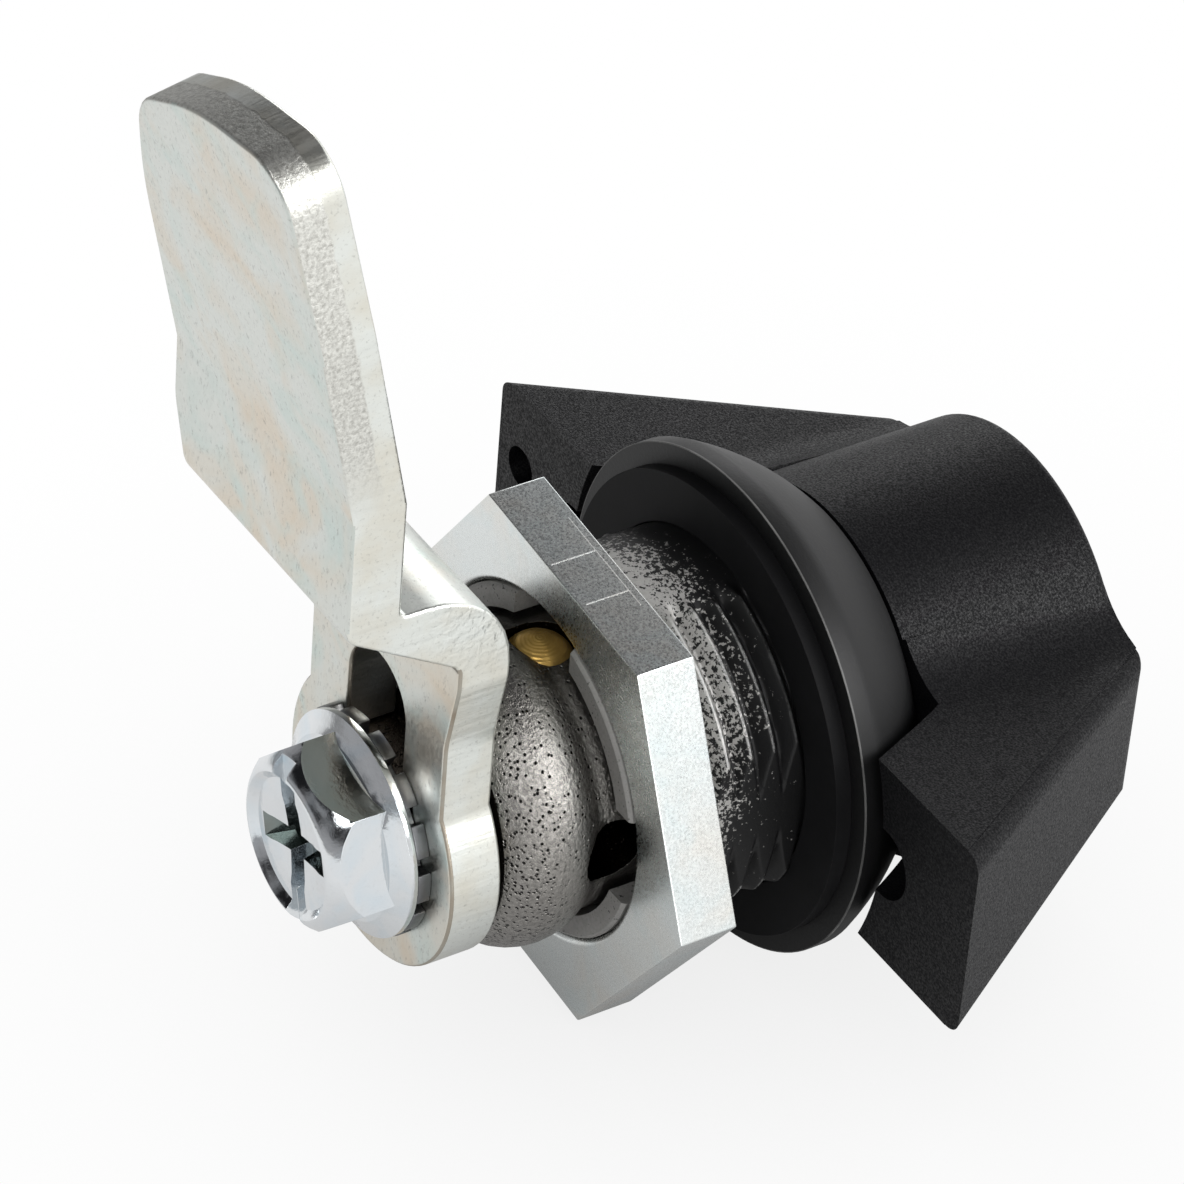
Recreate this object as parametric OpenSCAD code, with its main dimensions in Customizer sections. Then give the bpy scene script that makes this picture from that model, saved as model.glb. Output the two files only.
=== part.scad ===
// Wing knob cam lock: quarter-turn latch with a two-wing knob, a threaded barrel and a cranked cam.
// The lock's axis is Y. The panel's front face meets the gasket at Y = 0, the knob lies towards -Y,
// the cam towards +Y and points up along +Z.

/* [Barrel and panel] */
// Outside diameter of the barrel's thread
thread_d = 22; // [20:0.5:26]
// Distance across the two flats at the barrel's sides
flats_w = 20; // [19:0.5:21.5]
// Pitch of the barrel's thread
thread_pitch = 1.5; // [1:0.25:2]
// Depth of the thread
thread_depth = 0.9; // [0.5:0.1:1]
// Angle of the plain lands that break the thread above and below
land_angle = 62; // [30:1:80]
// Turn of the middle of the upper land from vertical, to the left
land_turn = 19; // [0:1:25]
// Distance from the panel seat to the nut's back face
panel_grip = 7.4; // [3:0.1:9]
// Length of barrel that shows past the nut
barrel_proud = 0.1; // [0.1:0.1:2]
// Chamfer at the barrel's rear end
barrel_chamfer = 0.2; // [0.1:0.1:0.6]
// Thickness of the gasket
gasket_t = 1; // [0.5:0.1:2]
// Width of the gasket's ring
gasket_w = 2.55; // [1.5:0.05:3.2]

/* [Rosette] */
// Diameter of the rosette's rim
rosette_d = 30; // [29:0.5:34]
// Height of the rosette from its back face to its front face
rosette_h = 6.1; // [5:0.1:8]
// Height of the straight rim
rim_h = 1; // [0.5:0.1:2]
// Radius of the rosette's domed side
dome_r = 14; // [8:0.5:20]

/* [Nut] */
// Least wall of the nut between its thread and its flats
nut_wall = 2.5; // [2:0.1:5]
// Thickness of the nut
nut_t = 3.6; // [2.5:0.1:6]
// Turn of the nut's first corner from vertical
nut_turn = 24.2; // [0:0.1:60]
// Depth of the nut's countersink
nut_sink = 0.3; // [0.2:0.1:1]

/* [Knob] */
// Diameter of the round hub
hub_d = 22.2; // [20:0.2:24]
// Length of the hub
hub_len = 13.6; // [11:0.2:18]
// Radius at the hub's front edge
hub_edge_r = 0.5; // [0.2:0.1:2.5]
// Width over both wings at their back faces
wing_span = 48.9; // [44:0.1:60]
// Width over both wings at the front
wing_front_span = 26; // [25:0.2:32]
// Thickness of a wing at its back face
wing_back_t = 12.5; // [10:0.1:13]
// Thickness of a wing at the front
wing_front_t = 9.4; // [7:0.1:10]
// Distance of the wings' back faces in front of the rosette's back face
wing_setback = 0.5; // [0.2:0.1:1.5]
// Radius at the wings' front corners
wing_corner_r = 2.5; // [1:0.1:4]
// Radius along the wings' outer edges
wing_edge_r = 1; // [0.5:0.1:2.5]
// Radius between the hub and a wing
wing_root_r = 6; // [2:0.5:8]
// Room between the rosette's rim and a wing
rim_room = 1; // [0.5:0.1:2]
// Diameter of the moulded core hole in each wing
core_d = 4.4; // [3:0.1:5]
// Depth of the core hole
core_depth = 7.5; // [4:0.5:8]
// Distance of the core holes from the axis
core_x = 16.2; // [15.5:0.1:18]
// Diameter of the small hole in one wing
pip_d = 2.6; // [1.5:0.1:3]
// Distance of the small hole from the axis
pip_x = 22; // [20:0.1:22.4]
// Height of the small hole above the axis
pip_z = 1.2; // [0:0.1:3]
// Depth of the small hole
pip_depth = 1.2; // [0.5:0.1:1.4]

/* [Rotor] */
// Diameter of the rotor in the barrel
rotor_d = 17.1; // [16:0.1:18]
// Largest diameter of the drum behind the barrel
drum_d = 19; // [18.2:0.1:21]
// Length of the drum
drum_len = 5.5; // [4.5:0.1:8]
// Gap between the barrel's end and the drum
drum_gap = 1.1; // [0.3:0.1:1.5]
// Height of the seat that the cam lies on
seat_h = 0.6; // [0.3:0.1:1.5]
// Diameter of that seat
seat_d = 13; // [12:0.5:15]
// Diameter of the spindle through the rosette
spindle_d = 12; // [11.8:0.1:13]
// Side of the square that drives the knob
tang_w = 8.2; // [7.4:0.1:8.3]
// Length of that square
tang_len = 6; // [4:0.1:8]
// Side of the square that drives the cam
drive_w = 8; // [7:0.1:9]
// Quarter turn from locked to open
turn_range = 90; // [60:5:120]

/* [Detent] */
// Diameter of the brass plunger
pin_d = 3.8; // [3:0.1:4.4]
// Length of the plunger
pin_len = 4.6; // [4.2:0.1:5]
// Height of the plunger's domed tip
pin_dome_h = 1; // [0.6:0.1:1.5]
// Distance of the plunger in front of the drum
pin_inset = 1; // [0.6:0.1:1.4]
// Width of the notches in the barrel's end ring
notch_w = 5.75; // [5:0.05:6.5]
// Depth of the notches
notch_depth = 3; // [2.6:0.1:4]
// Wire of the plunger's spring
spring_wire = 0.35; // [0.25:0.05:0.45]
// Number of turns of that spring
spring_turns = 6; // [4:1:7]

/* [Cam] */
// Thickness of the cam's plate
cam_t = 3.2; // [2.5:0.1:4]
// Radius of the cam's round end
cam_end_r = 8.6; // [7.6:0.1:9.2]
// Half width of the cam's neck
neck_half_w = 7; // [6.6:0.1:7.4]
// How far the crank sets the blade back from the base
crank_depth = 7; // [5.8:0.1:12]
// Height of the crank's shelf above the axis
shelf_z = 20.85; // [19:0.05:26]
// Outer radius of the crank's first bend
crank_r = 5.4; // [4.2:0.1:5.6]
// Slope of the crank's underside
crank_slope = 31; // [24:1:38]
// Height of the blade's bend above the axis
bend_z = 27.9; // [26:0.1:32]
// Lean of the blade above that bend
blade_lean = 12; // [0:1:20]
// Length of the leaning blade
blade_len = 22.6; // [18:0.1:40]
// Blade's edge on the right, from the axis
blade_right = 7.9; // [7.6:0.1:9]
// Blade's edge on the left, from the axis
blade_left = 10.7; // [9.6:0.1:12]
// Width of the slot above the cam's square hole
slot_w = 5.8; // [5:0.1:6.4]
// Height of the slot's top above the axis
slot_top = 11.4; // [9.6:0.1:12]

/* [Screws and washer] */
// Thread diameter of the cam screw
cam_screw_d = 6; // [5:0.5:6]
// Length of the cam screw under its head
cam_screw_len = 8; // [7:0.5:8]
// Diameter of the cam screw's washer face
cam_head_d = 12.5; // [11.6:0.1:14]
// Thickness of that washer face
cam_head_flange = 1.1; // [0.8:0.1:1.6]
// Size across the flats of the cam screw's hexagon
cam_head_af = 10; // [8:0.1:10.2]
// Height of the hexagon
cam_head_h = 3.4; // [2.6:0.1:4]
// Turn of the hexagon's first corner from vertical
cam_head_turn = 15; // [0:1:60]
// Outside diameter of the toothed washer
washer_d = 13.6; // [13:0.1:16]
// Thickness of the toothed washer
washer_t = 0.8; // [0.5:0.1:1.2]
// Number of teeth on the washer
washer_teeth = 14; // [8:1:18]
// Thread diameter of the knob screw
knob_screw_d = 5; // [3:0.5:5]
// Length of the knob screw under its head
knob_screw_len = 8; // [6:0.5:10]
// Diameter of the knob screw's head
knob_head_d = 9; // [7:0.1:9.4]
// Height of the knob screw's head
knob_head_h = 2.6; // [1.6:0.1:3]
// Diameter of the cap over the knob screw
cap_d = 12.4; // [11:0.1:15]
// Thickness of the cap
cap_t = 1.4; // [1:0.1:2]

/* [Hidden] */
$fn = 96;
// Radial room of a shaft that turns in a bore
run_gap = 0.05;
// Room between a thread and its hole, and round a square or a pressed-in piece
fit_gap = 0.05;
// Room between faces that pass each other
face_gap = 0.3;
// Room under the end of a screw or a shaft in its hole
end_gap = 0.3;
// Room that keeps two pieces of one body from touching
touch_gap = 0.02;
// Overrun of a cut past the face that it leaves
cut = 1;
// Points on each rounded corner
arc_steps = 8;

// Places along the axis
rosette_back = -gasket_t;
rosette_front = rosette_back - rosette_h;
hub_back = rosette_front - face_gap;
hub_front = hub_back - hub_len;
wing_back = rosette_back - wing_setback;
nut_front = panel_grip + nut_t;
barrel_end = nut_front + barrel_proud;
notch_floor = barrel_end - notch_depth;
drum_front = barrel_end + drum_gap;
pin_y = drum_front - pin_inset;
drum_back = drum_front + drum_len;
cam_back = drum_back + seat_h;
cam_front = cam_back + cam_t;
head_back = cam_front + washer_t;
flange_front = head_back + cam_head_flange;
head_front = flange_front + cam_head_h;
tang_end = hub_back - tang_len;
socket_end = tang_end - end_gap;
web_t = 2.4;
web_front = socket_end - web_t;
knob_tip = web_front + knob_screw_len;
cap_back = hub_front + cap_t;

// Radii about the axis
thread_r = thread_d / 2;
nut_core_r = thread_r - thread_depth * 3 / 4;
gasket_hole_r = thread_r + face_gap / 2;
nut_af = thread_d + 2 * nut_wall;
hub_r = hub_d / 2;
rotor_r = rotor_d / 2;
spindle_r = spindle_d / 2;
rotor_bore_r = rotor_r + run_gap;
spindle_bore_r = spindle_r + run_gap;
ring_step = 0.4;
ring_r = rotor_r + ring_step;
pin_room = 0.1;
pin_rest = ring_r - pin_room;
step_back = 2;
lug_inset = 0.5;
lug_in_r = spindle_bore_r + lug_inset;
lug_out_r = rotor_r - lug_inset;
lug_h = 1.4;
lug_angle = 28;
lug_play = 1;
land_r = thread_r - thread_depth / 2;
land_inset = 1;
crest_w = thread_pitch / 20;
groove_w = 2.2;
groove_inset = 2.6;
groove_depth = 1.5;
groove_y = rosette_back - groove_inset;
groove_r = spindle_r - groove_depth;
seal_wire_r = (spindle_bore_r - groove_r) / 2 - touch_gap;
pocket_d = pin_d + 2 * run_gap;
pocket_floor = 2.6;
pin_foot = pin_rest - pin_len;
pin_wall = 0.6;
pin_roof = 1;
spring_room = 0.2;
spring_hole_d = pin_d - 2 * pin_wall;
spring_hole_depth = pin_len - pin_dome_h - pin_roof;
spring_r = spring_hole_d / 2 - spring_room - spring_wire / 2;
tap_depth = cam_screw_len - cam_t - washer_t + end_gap;

// Points on an arc about c from angle a to angle b
function arc(c, r, a, b, steps = arc_steps) =
    [for (i = [0:steps]) let (t = a + (b - a) * i / steps) [c[0] + r * cos(t), c[1] + r * sin(t)]];

// Points on an arc of radius r from p to q, bulging to the right of the way from p to q
function bulge(p, q, r, steps = arc_steps) =
    let (d = q - p, len = norm(d), side = [d[1], -d[0]] / len)
    let (c = (p + q) / 2 - side * sqrt(r * r - len * len / 4))
    let (a = atan2(p[1] - c[1], p[0] - c[0]), half = asin(len / 2 / r))
    arc(c, r, a, a + 2 * half, steps);

// Outline through corners [x, y, radius], each rounded by its own radius
function rounded(corners) =
    [for (i = [0:len(corners) - 1])
        let (n = len(corners), k = corners[i], r = k[2], p = [k[0], k[1]])
        let (before = corners[(i + n - 1) % n], after = corners[(i + 1) % n])
        let (u = [before[0], before[1]] - p, v = [after[0], after[1]] - p)
        let (un = u / norm(u), vn = v / norm(v), half = acos(un * vn) / 2)
        let (mid = (un + vn) / max(norm(un + vn), 0.0001), c = p + mid * r / sin(half))
        let (s = p + un * r / tan(half), e = p + vn * r / tan(half))
        let (a = atan2(s[1] - c[1], s[0] - c[0]), b = atan2(e[1] - c[1], e[0] - c[0]))
        let (turn = (b - a + 540) % 360 - 180)
        each r == 0 ? [p] : arc(c, r, a, a + turn)];

// Turns a shape's own Z axis to the lock's axis, at a distance y along it
module on_axis(y = 0) {
    translate([0, y, 0]) rotate([-90, 0, 0]) children();
}

// Revolves an outline of [radius, y] points about the lock's axis
module revolved(points) {
    on_axis() rotate_extrude() polygon(points);
}

// Round rod from y1 to y2 along the axis
module rod(r, y1, y2) {
    on_axis(y1) cylinder(r = r, h = y2 - y1);
}

// Square bar from y1 to y2 along the axis
module square_bar(w, y1, y2) {
    translate([-w / 2, y1, -w / 2]) cube([w, y2 - y1, w]);
}

// Extrudes an outline of [x, z] points from y1 to y2
module plate(y1, y2) {
    translate([0, y2, 0]) rotate([90, 0, 0]) linear_extrude(y2 - y1) children();
}

// Hexagon with a corner turned from vertical towards +X
module hexagon(af, turn) {
    rotate(90 - turn) circle(d = af / cos(30), $fn = 6);
}

// One of the two wings: a slanted outline cut to the tapered thickness
module wing_slab() {
    side = wing_span / 2;
    front = wing_front_span / 2;
    outline = rounded([[0, wing_back, 0], [side, wing_back, 0],
        [front, hub_front, wing_corner_r], [0, hub_front, 0]]);
    taper = [[wing_back, wing_back_t / 2], [hub_front, wing_front_t / 2],
        [hub_front, -wing_front_t / 2], [wing_back, -wing_back_t / 2]];
    intersection() {
        translate([0, 0, -hub_r]) linear_extrude(2 * hub_r) polygon(outline);
        union() {
            rotate([90, 0, 90]) linear_extrude(side + cut) polygon(taper);
            wing_root();
            mirror([0, 0, 1]) wing_root();
        }
    }
}

// Concave sweep that leads the hub's round side onto a wing's broad face
module wing_root() {
    len = wing_back - hub_front;
    tilt = atan((wing_back_t - wing_front_t) / 2 / len);
    half = wing_front_t / 2 + hub_len / 2 * tan(tilt);
    x = sqrt(pow(hub_r + wing_root_r, 2) - pow(half + wing_root_r, 2));
    end = atan2(-half - wing_root_r, -x);
    sweep = concat(arc([x, wing_root_r], wing_root_r, -90, end), [[0, -half]]);
    translate([0, wing_back, wing_back_t / 2]) rotate([90 + tilt, 0, 0])
        linear_extrude(len + cut) polygon(sweep);
}

// Cutter that rounds the upper outer edge of a wing
module wing_edge_cut() {
    run = [(wing_front_span - wing_span) / 2, hub_front - wing_back];
    slope = atan((wing_back_t - wing_front_t) / 2 / norm(run));
    r = wing_edge_r;
    translate([wing_span / 2, wing_back, wing_back_t / 2]) rotate([0, slope, atan2(run[1], run[0])])
        difference() {
            translate([-cut, -r, -r]) cube([norm(run) + 2 * cut, r + cut, r + cut]);
            translate([-2 * cut, -r, -r]) rotate([0, 90, 0]) cylinder(r = r, h = norm(run) + 4 * cut);
        }
}

module wing_knob() {
    color("#1b1b1d") difference() {
        union() {
            revolved(concat([[0, wing_back], [hub_r, wing_back]],
                arc([hub_r - hub_edge_r, hub_front + hub_edge_r], hub_edge_r, 0, -90), [[0, hub_front]]));
            for (side = [0, 1]) mirror([side, 0, 0]) wing_slab();
        }
        for (side = [0, 1], face = [0, 1]) mirror([side, 0, 0]) mirror([0, 0, face]) wing_edge_cut();
        rim_well();
        for (side = [-1, 1]) translate([side * core_x, 0, 0]) rod(core_d / 2, wing_back - core_depth, 0);
        translate([pip_x, 0, pip_z]) rod(pip_d / 2, wing_back - pip_depth, 0);
        square_bar(tang_w + 2 * fit_gap, socket_end, wing_back);
        rod(knob_screw_d / 2 + face_gap, web_front - cut, socket_end + cut);
        rod(knob_head_d / 2 + face_gap, hub_front - cut, web_front);
        rod(cap_d / 2 + fit_gap, hub_front - cut, cap_back);
    }
}

// Space round the rosette that the wings reach over
module rim_well() {
    well_room = 2.2;
    rim_r = rosette_d / 2 + rim_room;
    floor_r = hub_r + well_room;
    revolved([[0, wing_back + cut], [rim_r + cut / 2, wing_back + cut], [rim_r, wing_back],
        [floor_r, hub_back], [0, hub_back]]);
}

module knob_cap() {
    bevel = 0.4;
    r = cap_d / 2;
    color("#1b1b1d") revolved([[0, cap_back], [r, cap_back], [r, hub_front + bevel],
        [r - bevel, hub_front], [0, hub_front]]);
}

module knob_screw() {
    recess_w = 1.4;
    recess_h = knob_head_h / 2;
    head_front = web_front - knob_head_h;
    color("#b9bcc0") difference() {
        union() {
            rod(knob_head_d / 2, head_front, web_front);
            rod(knob_screw_d / 2, web_front - cut, knob_tip);
        }
        for (turn = [0, 90]) rotate([0, turn, 0])
            translate([-knob_head_d / 4, head_front - cut, -recess_w / 2])
                cube([knob_head_d / 2, recess_h + cut, recess_w]);
    }
}

// Outline of the rosette and barrel as one turned shape, with the thread as rings up to the nut and
// as a plain core inside it
function housing_outline() =
    let (hub_lip = 0.1, half = thread_pitch / 2 - crest_w, rings = floor(panel_grip / thread_pitch))
    concat(
        [[0, rosette_front]],
        bulge([hub_r + hub_lip, rosette_front], [rosette_d / 2, rosette_back - rim_h], dome_r),
        [[rosette_d / 2, rosette_back], [thread_r, rosette_back]],
        [for (i = [0:rings - 1]) let (y = panel_grip - (rings - i - 0.5) * thread_pitch)
            each [[thread_r, y - half], [thread_r - thread_depth, y], [thread_r, y + half]]],
        [[thread_r, panel_grip], [nut_core_r, panel_grip], [nut_core_r, barrel_end - barrel_chamfer],
            [nut_core_r - barrel_chamfer, barrel_end], [0, barrel_end]]);

module housing() {
    color("#26262a") difference() {
        union() {
            revolved(housing_outline());
            for (turn = [0, 180]) land(rotor_bore_r + cut, thread_r - touch_gap, turn,
                land_angle - land_inset, panel_grip - crest_w / 2);
        }
        for (turn = [0, 180]) land(land_r, thread_r + cut, turn, land_angle, barrel_end + cut);
        for (side = [-1, 1]) translate([side * (flats_w / 2 + thread_r) - thread_r, 0, -thread_r])
            cube([2 * thread_r, barrel_end + cut, 2 * thread_r]);
        rod(spindle_bore_r, rosette_front - cut, step_back + cut);
        rod(rotor_bore_r, step_back, barrel_end + cut);
        rod(ring_r, notch_floor - face_gap, barrel_end + cut);
        for (turn = [0, 90]) rotate([0, turn, 0]) translate([-notch_w / 2, notch_floor, -thread_r - cut])
            cube([notch_w, notch_depth + cut, 2 * (thread_r + cut)]);
        sector(turn_range + lug_angle + 2 * lug_play, lug_in_r - face_gap, lug_out_r + face_gap,
            step_back - lug_h - face_gap, step_back + cut, -lug_angle / 2 - lug_play);
    }
}

// Plain stretch of the barrel's side between radii r1 and r2, up to y2, with its middle turned from below
module land(r1, r2, turn, angle, y2) {
    sector(angle, r1, r2, 0, y2, turn + land_turn - angle / 2);
}

// Ring sector from r1 to r2 and y1 to y2, starting at an angle from below the axis
module sector(angle, r1, r2, y1, y2, start) {
    on_axis(y1) rotate([0, 0, 90 + start]) rotate_extrude(angle = angle)
        translate([r1, 0]) square([r2 - r1, y2 - y1]);
}

module rotor_seal() {
    color("#161616") on_axis(groove_y) rotate_extrude()
        translate([groove_r + touch_gap + seal_wire_r, 0]) circle(seal_wire_r, $fn = 32);
}

module flange_gasket() {
    color("#202022") difference() {
        rod(gasket_hole_r + gasket_w, -gasket_t, 0);
        rod(gasket_hole_r, -gasket_t - cut, cut);
    }
}

module hex_nut() {
    corner_r = nut_af / 2 / cos(30);
    bevel_in = 0.3;
    bevel = corner_r - nut_af / 2 + bevel_in;
    hole_r = nut_core_r + fit_gap;
    color("#c3c7c6") difference() {
        intersection() {
            plate(panel_grip, nut_front) hexagon(nut_af, nut_turn);
            revolved([[0, panel_grip], [nut_af / 2 - bevel_in, panel_grip],
                [corner_r + cut, panel_grip + (bevel + cut) * tan(30)],
                [corner_r + cut, nut_front], [0, nut_front]]);
        }
        rod(hole_r, panel_grip - cut, nut_front + cut);
        revolved([[0, nut_front - nut_sink], [hole_r, nut_front - nut_sink],
            [hole_r + nut_sink + cut, nut_front + cut], [0, nut_front + cut]]);
    }
}

// Outline of the rotor as one turned shape, with its bulging drum
function rotor_outline() =
    let (neck_r = rotor_r + 0.15, edge = 0.8, front = hub_back + fit_gap)
    let (shoulder = step_back + run_gap, mid_r = drum_d / 2)
    let (sag = mid_r - neck_r, chord = drum_len - edge, r = chord * chord / 8 / sag + sag / 2)
    concat(
        [[0, front], [spindle_r, front], [spindle_r, shoulder], [rotor_r, shoulder],
            [rotor_r, drum_front - drum_gap / 2]],
        bulge([neck_r, drum_front], [neck_r, drum_back - edge], r),
        [[neck_r - edge, drum_back], [seat_d / 2, drum_back], [seat_d / 2, cam_back], [0, cam_back]]);

module rotor() {
    drive_inset = 0.2;
    tap_end = cam_front - drive_inset;
    color("#a9a9a8") difference() {
        union() {
            revolved(rotor_outline());
            square_bar(tang_w, tang_end, hub_back + cut);
            square_bar(drive_w, cam_back - cut, tap_end);
            sector(lug_angle, lug_in_r, lug_out_r, step_back - lug_h, step_back + cut, -lug_angle / 2);
        }
        rod(cam_screw_d / 2 + fit_gap, cam_back - tap_depth, tap_end + cut);
        rod(knob_screw_d / 2 + fit_gap, tang_end - cut, knob_tip + end_gap);
        revolved([[groove_r, groove_y - groove_w / 2], [spindle_r + cut, groove_y - groove_w / 2],
            [spindle_r + cut, groove_y + groove_w / 2], [groove_r, groove_y + groove_w / 2]]);
        for (turn = [0, -90]) rotate([0, turn, 0]) translate([0, pin_y, pocket_floor])
            cylinder(d = pocket_d, h = drum_d);
    }
}

module detent_pin() {
    r = pin_d / 2;
    dome_r = (r * r + pin_dome_h * pin_dome_h) / 2 / pin_dome_h;
    dome = arc([0, pin_rest - dome_r], dome_r, asin(1 - pin_dome_h / dome_r), 90);
    color("#b08a3c") translate([0, pin_y, 0]) difference() {
        rotate_extrude() polygon(concat([[0, pin_foot], [r, pin_foot]], dome));
        translate([0, 0, pin_foot - cut]) cylinder(d = spring_hole_d, h = spring_hole_depth + cut);
    }
}

module detent_spring() {
    low = pocket_floor + spring_wire / 2 + touch_gap;
    high = pin_foot + spring_hole_depth - spring_wire / 2 - touch_gap;
    steps = 14 * spring_turns;
    sides = 8;
    rings = [for (i = [0:steps]) let (t = i / steps, a = 360 * spring_turns * t)
        [for (k = [0:sides - 1]) let (b = 360 * k / sides, r = spring_r + spring_wire / 2 * cos(b))
            [r * cos(a), pin_y + r * sin(a), low + (high - low) * t + spring_wire / 2 * sin(b)]]];
    walls = [for (i = [0:steps - 1], k = [0:sides - 1]) let (n = (k + 1) % sides, a = i * sides)
        each [[a + k, a + sides + k, a + n], [a + n, a + sides + k, a + sides + n]]];
    first = [for (k = [0:sides - 1]) k];
    last = [for (k = [sides - 1:-1:0]) steps * sides + k];
    color("#8f9296") polyhedron([for (ring = rings) each ring], concat([first, last], walls));
}

// Side view of the folded cam as [y, z] points, from the base's foot up the front and down the back
function cam_profile() =
    let (front = crank_depth + cam_t, foot = -cam_end_r - cut, lean = [sin(blade_lean), cos(blade_lean)])
    let (toe_drop = 0.65, heel_r = 0.8, toe_r = 1.2, shelf_r = 0.4)
    let (toe_z = shelf_z - toe_drop, heel_z = toe_z - crank_depth * tan(crank_slope))
    let (tip = [front, bend_z] + (blade_len + cut) * lean, square_off = cam_t * [-lean[1], lean[0]])
    let (top = tip + square_off, back_bend = bend_z + cam_t * tan(blade_lean / 2))
    concat(
        rounded([[0, foot, 0], [cam_t, foot, 0], [cam_t, heel_z, heel_r], [front, toe_z, toe_r],
            [front, bend_z, 0], [tip[0], tip[1], 0], [top[0], top[1], 0], [crank_depth, back_bend, 0],
            [crank_depth, shelf_z, shelf_r], [0, shelf_z, crank_r]]));

// Front view of the cam below its bend, as [x, z] points
function cam_lower() =
    let (waist_z = slot_top - 1.4, waist_r = 6, shoulder_z = shelf_z - 6.4, shoulder_r = 4)
    let (shoulder = neck_half_w + 0.8, toe = [blade_left - 1.2, shelf_z - 0.4, 3])
    let (flank_z = shelf_z + 3.2, top = bend_z + cut)
    rounded([[-neck_half_w, 0, 0], [neck_half_w, 0, 0], [neck_half_w, waist_z, waist_r],
        [shoulder, shoulder_z, shoulder_r], toe, [blade_left, flank_z, shoulder_r],
        [blade_left, top, 0], [-blade_right, top, 0], [-blade_right, shoulder_z, shoulder_r],
        [-neck_half_w, waist_z, waist_r]]);

// Front view of the leaning blade as [x, distance along the blade] points
function cam_upper() =
    let (mid = blade_len / 2, sweep_r = 20)
    let (left = [blade_left - 1.4, blade_len - 5.2, 1.6], right = [0.8 - blade_right, blade_len + 0.5, 2.8])
    let (crown = [blade_left - 8.5, blade_len - 1.3, sweep_r])
    rounded([[blade_left, -cut, 0], [blade_left, mid, sweep_r], left, crown, right,
        [-blade_right, mid, sweep_r], [-blade_right, -cut, 0]]);

module cam() {
    wide = blade_left + blade_right + 2 * cut;
    deep = crank_depth + 4 * cam_t + blade_len * sin(blade_lean);
    color("#c9ccc6") difference() {
        intersection() {
            translate([-blade_right - cut, cam_back, 0]) rotate([90, 0, 90])
                linear_extrude(wide) polygon(cam_profile());
            union() {
                plate(cam_back - cut, cam_back + deep) {
                    circle(cam_end_r);
                    polygon(cam_lower());
                }
                translate([0, cam_back + crank_depth + cam_t, bend_z]) rotate([-blade_lean, 0, 0])
                    plate(-cam_t - cut, cut) polygon(cam_upper());
            }
        }
        square_bar(drive_w + 4 * fit_gap, cam_back - cut, cam_front + cut);
        plate(cam_back - cut, cam_front + cut) {
            translate([0, slot_top - slot_w / 2]) circle(d = slot_w);
            translate([-slot_w / 2, 0]) square([slot_w, slot_top - slot_w / 2]);
        }
    }
}

module lock_washer() {
    tooth_depth = 1.3;
    gap_w = 1;
    r = washer_d / 2;
    color("#55565a") difference() {
        rod(r, cam_front, head_back);
        rod(cam_screw_d / 2 + face_gap, cam_front - cut, head_back + cut);
        for (i = [1:washer_teeth]) rotate([0, i * 360 / washer_teeth, 0])
            translate([-gap_w / 2, cam_front - cut, r - tooth_depth])
                cube([gap_w, washer_t + 2 * cut, tooth_depth + cut]);
    }
}

module cam_screw() {
    flange_rise = 0.4;
    rim_w = 0.7;
    dish_r = cam_head_af / 2 - rim_w;
    dish_h = 0.5;
    recess_r = dish_r * 0.75;
    recess_w = 1.5;
    recess_h = 1.4;
    slot_h = dish_h + 0.3;
    corner_r = cam_head_af / 2 / cos(30);
    color("#d4d7da") difference() {
        union() {
            rod(cam_screw_d / 2, head_back - cam_screw_len, head_back + flange_rise);
            revolved([[0, head_back], [cam_head_d / 2, head_back], [cam_head_d / 2, head_back + flange_rise],
                [corner_r - flange_rise, flange_front], [0, flange_front]]);
            plate(head_back + flange_rise, head_front) hexagon(cam_head_af, cam_head_turn);
        }
        revolved([[0, head_front - dish_h], [dish_r - dish_h, head_front - dish_h],
            [dish_r + cut, head_front + cut], [0, head_front + cut]]);
        for (turn = [0, 90]) rotate([0, cam_head_turn + turn, 0])
            translate([-recess_r, head_front - dish_h - recess_h, -recess_w / 2])
                cube([2 * recess_r, recess_h + dish_h + cut, recess_w]);
        rotate([0, cam_head_turn, 0]) translate([-recess_w / 2, head_front - slot_h, -corner_r - cut])
            cube([recess_w, slot_h + cut, 2 * (corner_r + cut)]);
    }
}

wing_knob();
knob_cap();
knob_screw();
housing();
rotor_seal();
flange_gasket();
hex_nut();
rotor();
detent_pin();
detent_spring();
cam();
lock_washer();
cam_screw();
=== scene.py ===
"""Looks of a wing knob cam lock: black knob and rosette, bare zinc barrel and drum, plated steel cam."""

from __future__ import annotations

import logging
import math
from dataclasses import dataclass, field
from enum import Enum

import bmesh
import bpy
from mathutils import Matrix, Vector

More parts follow.
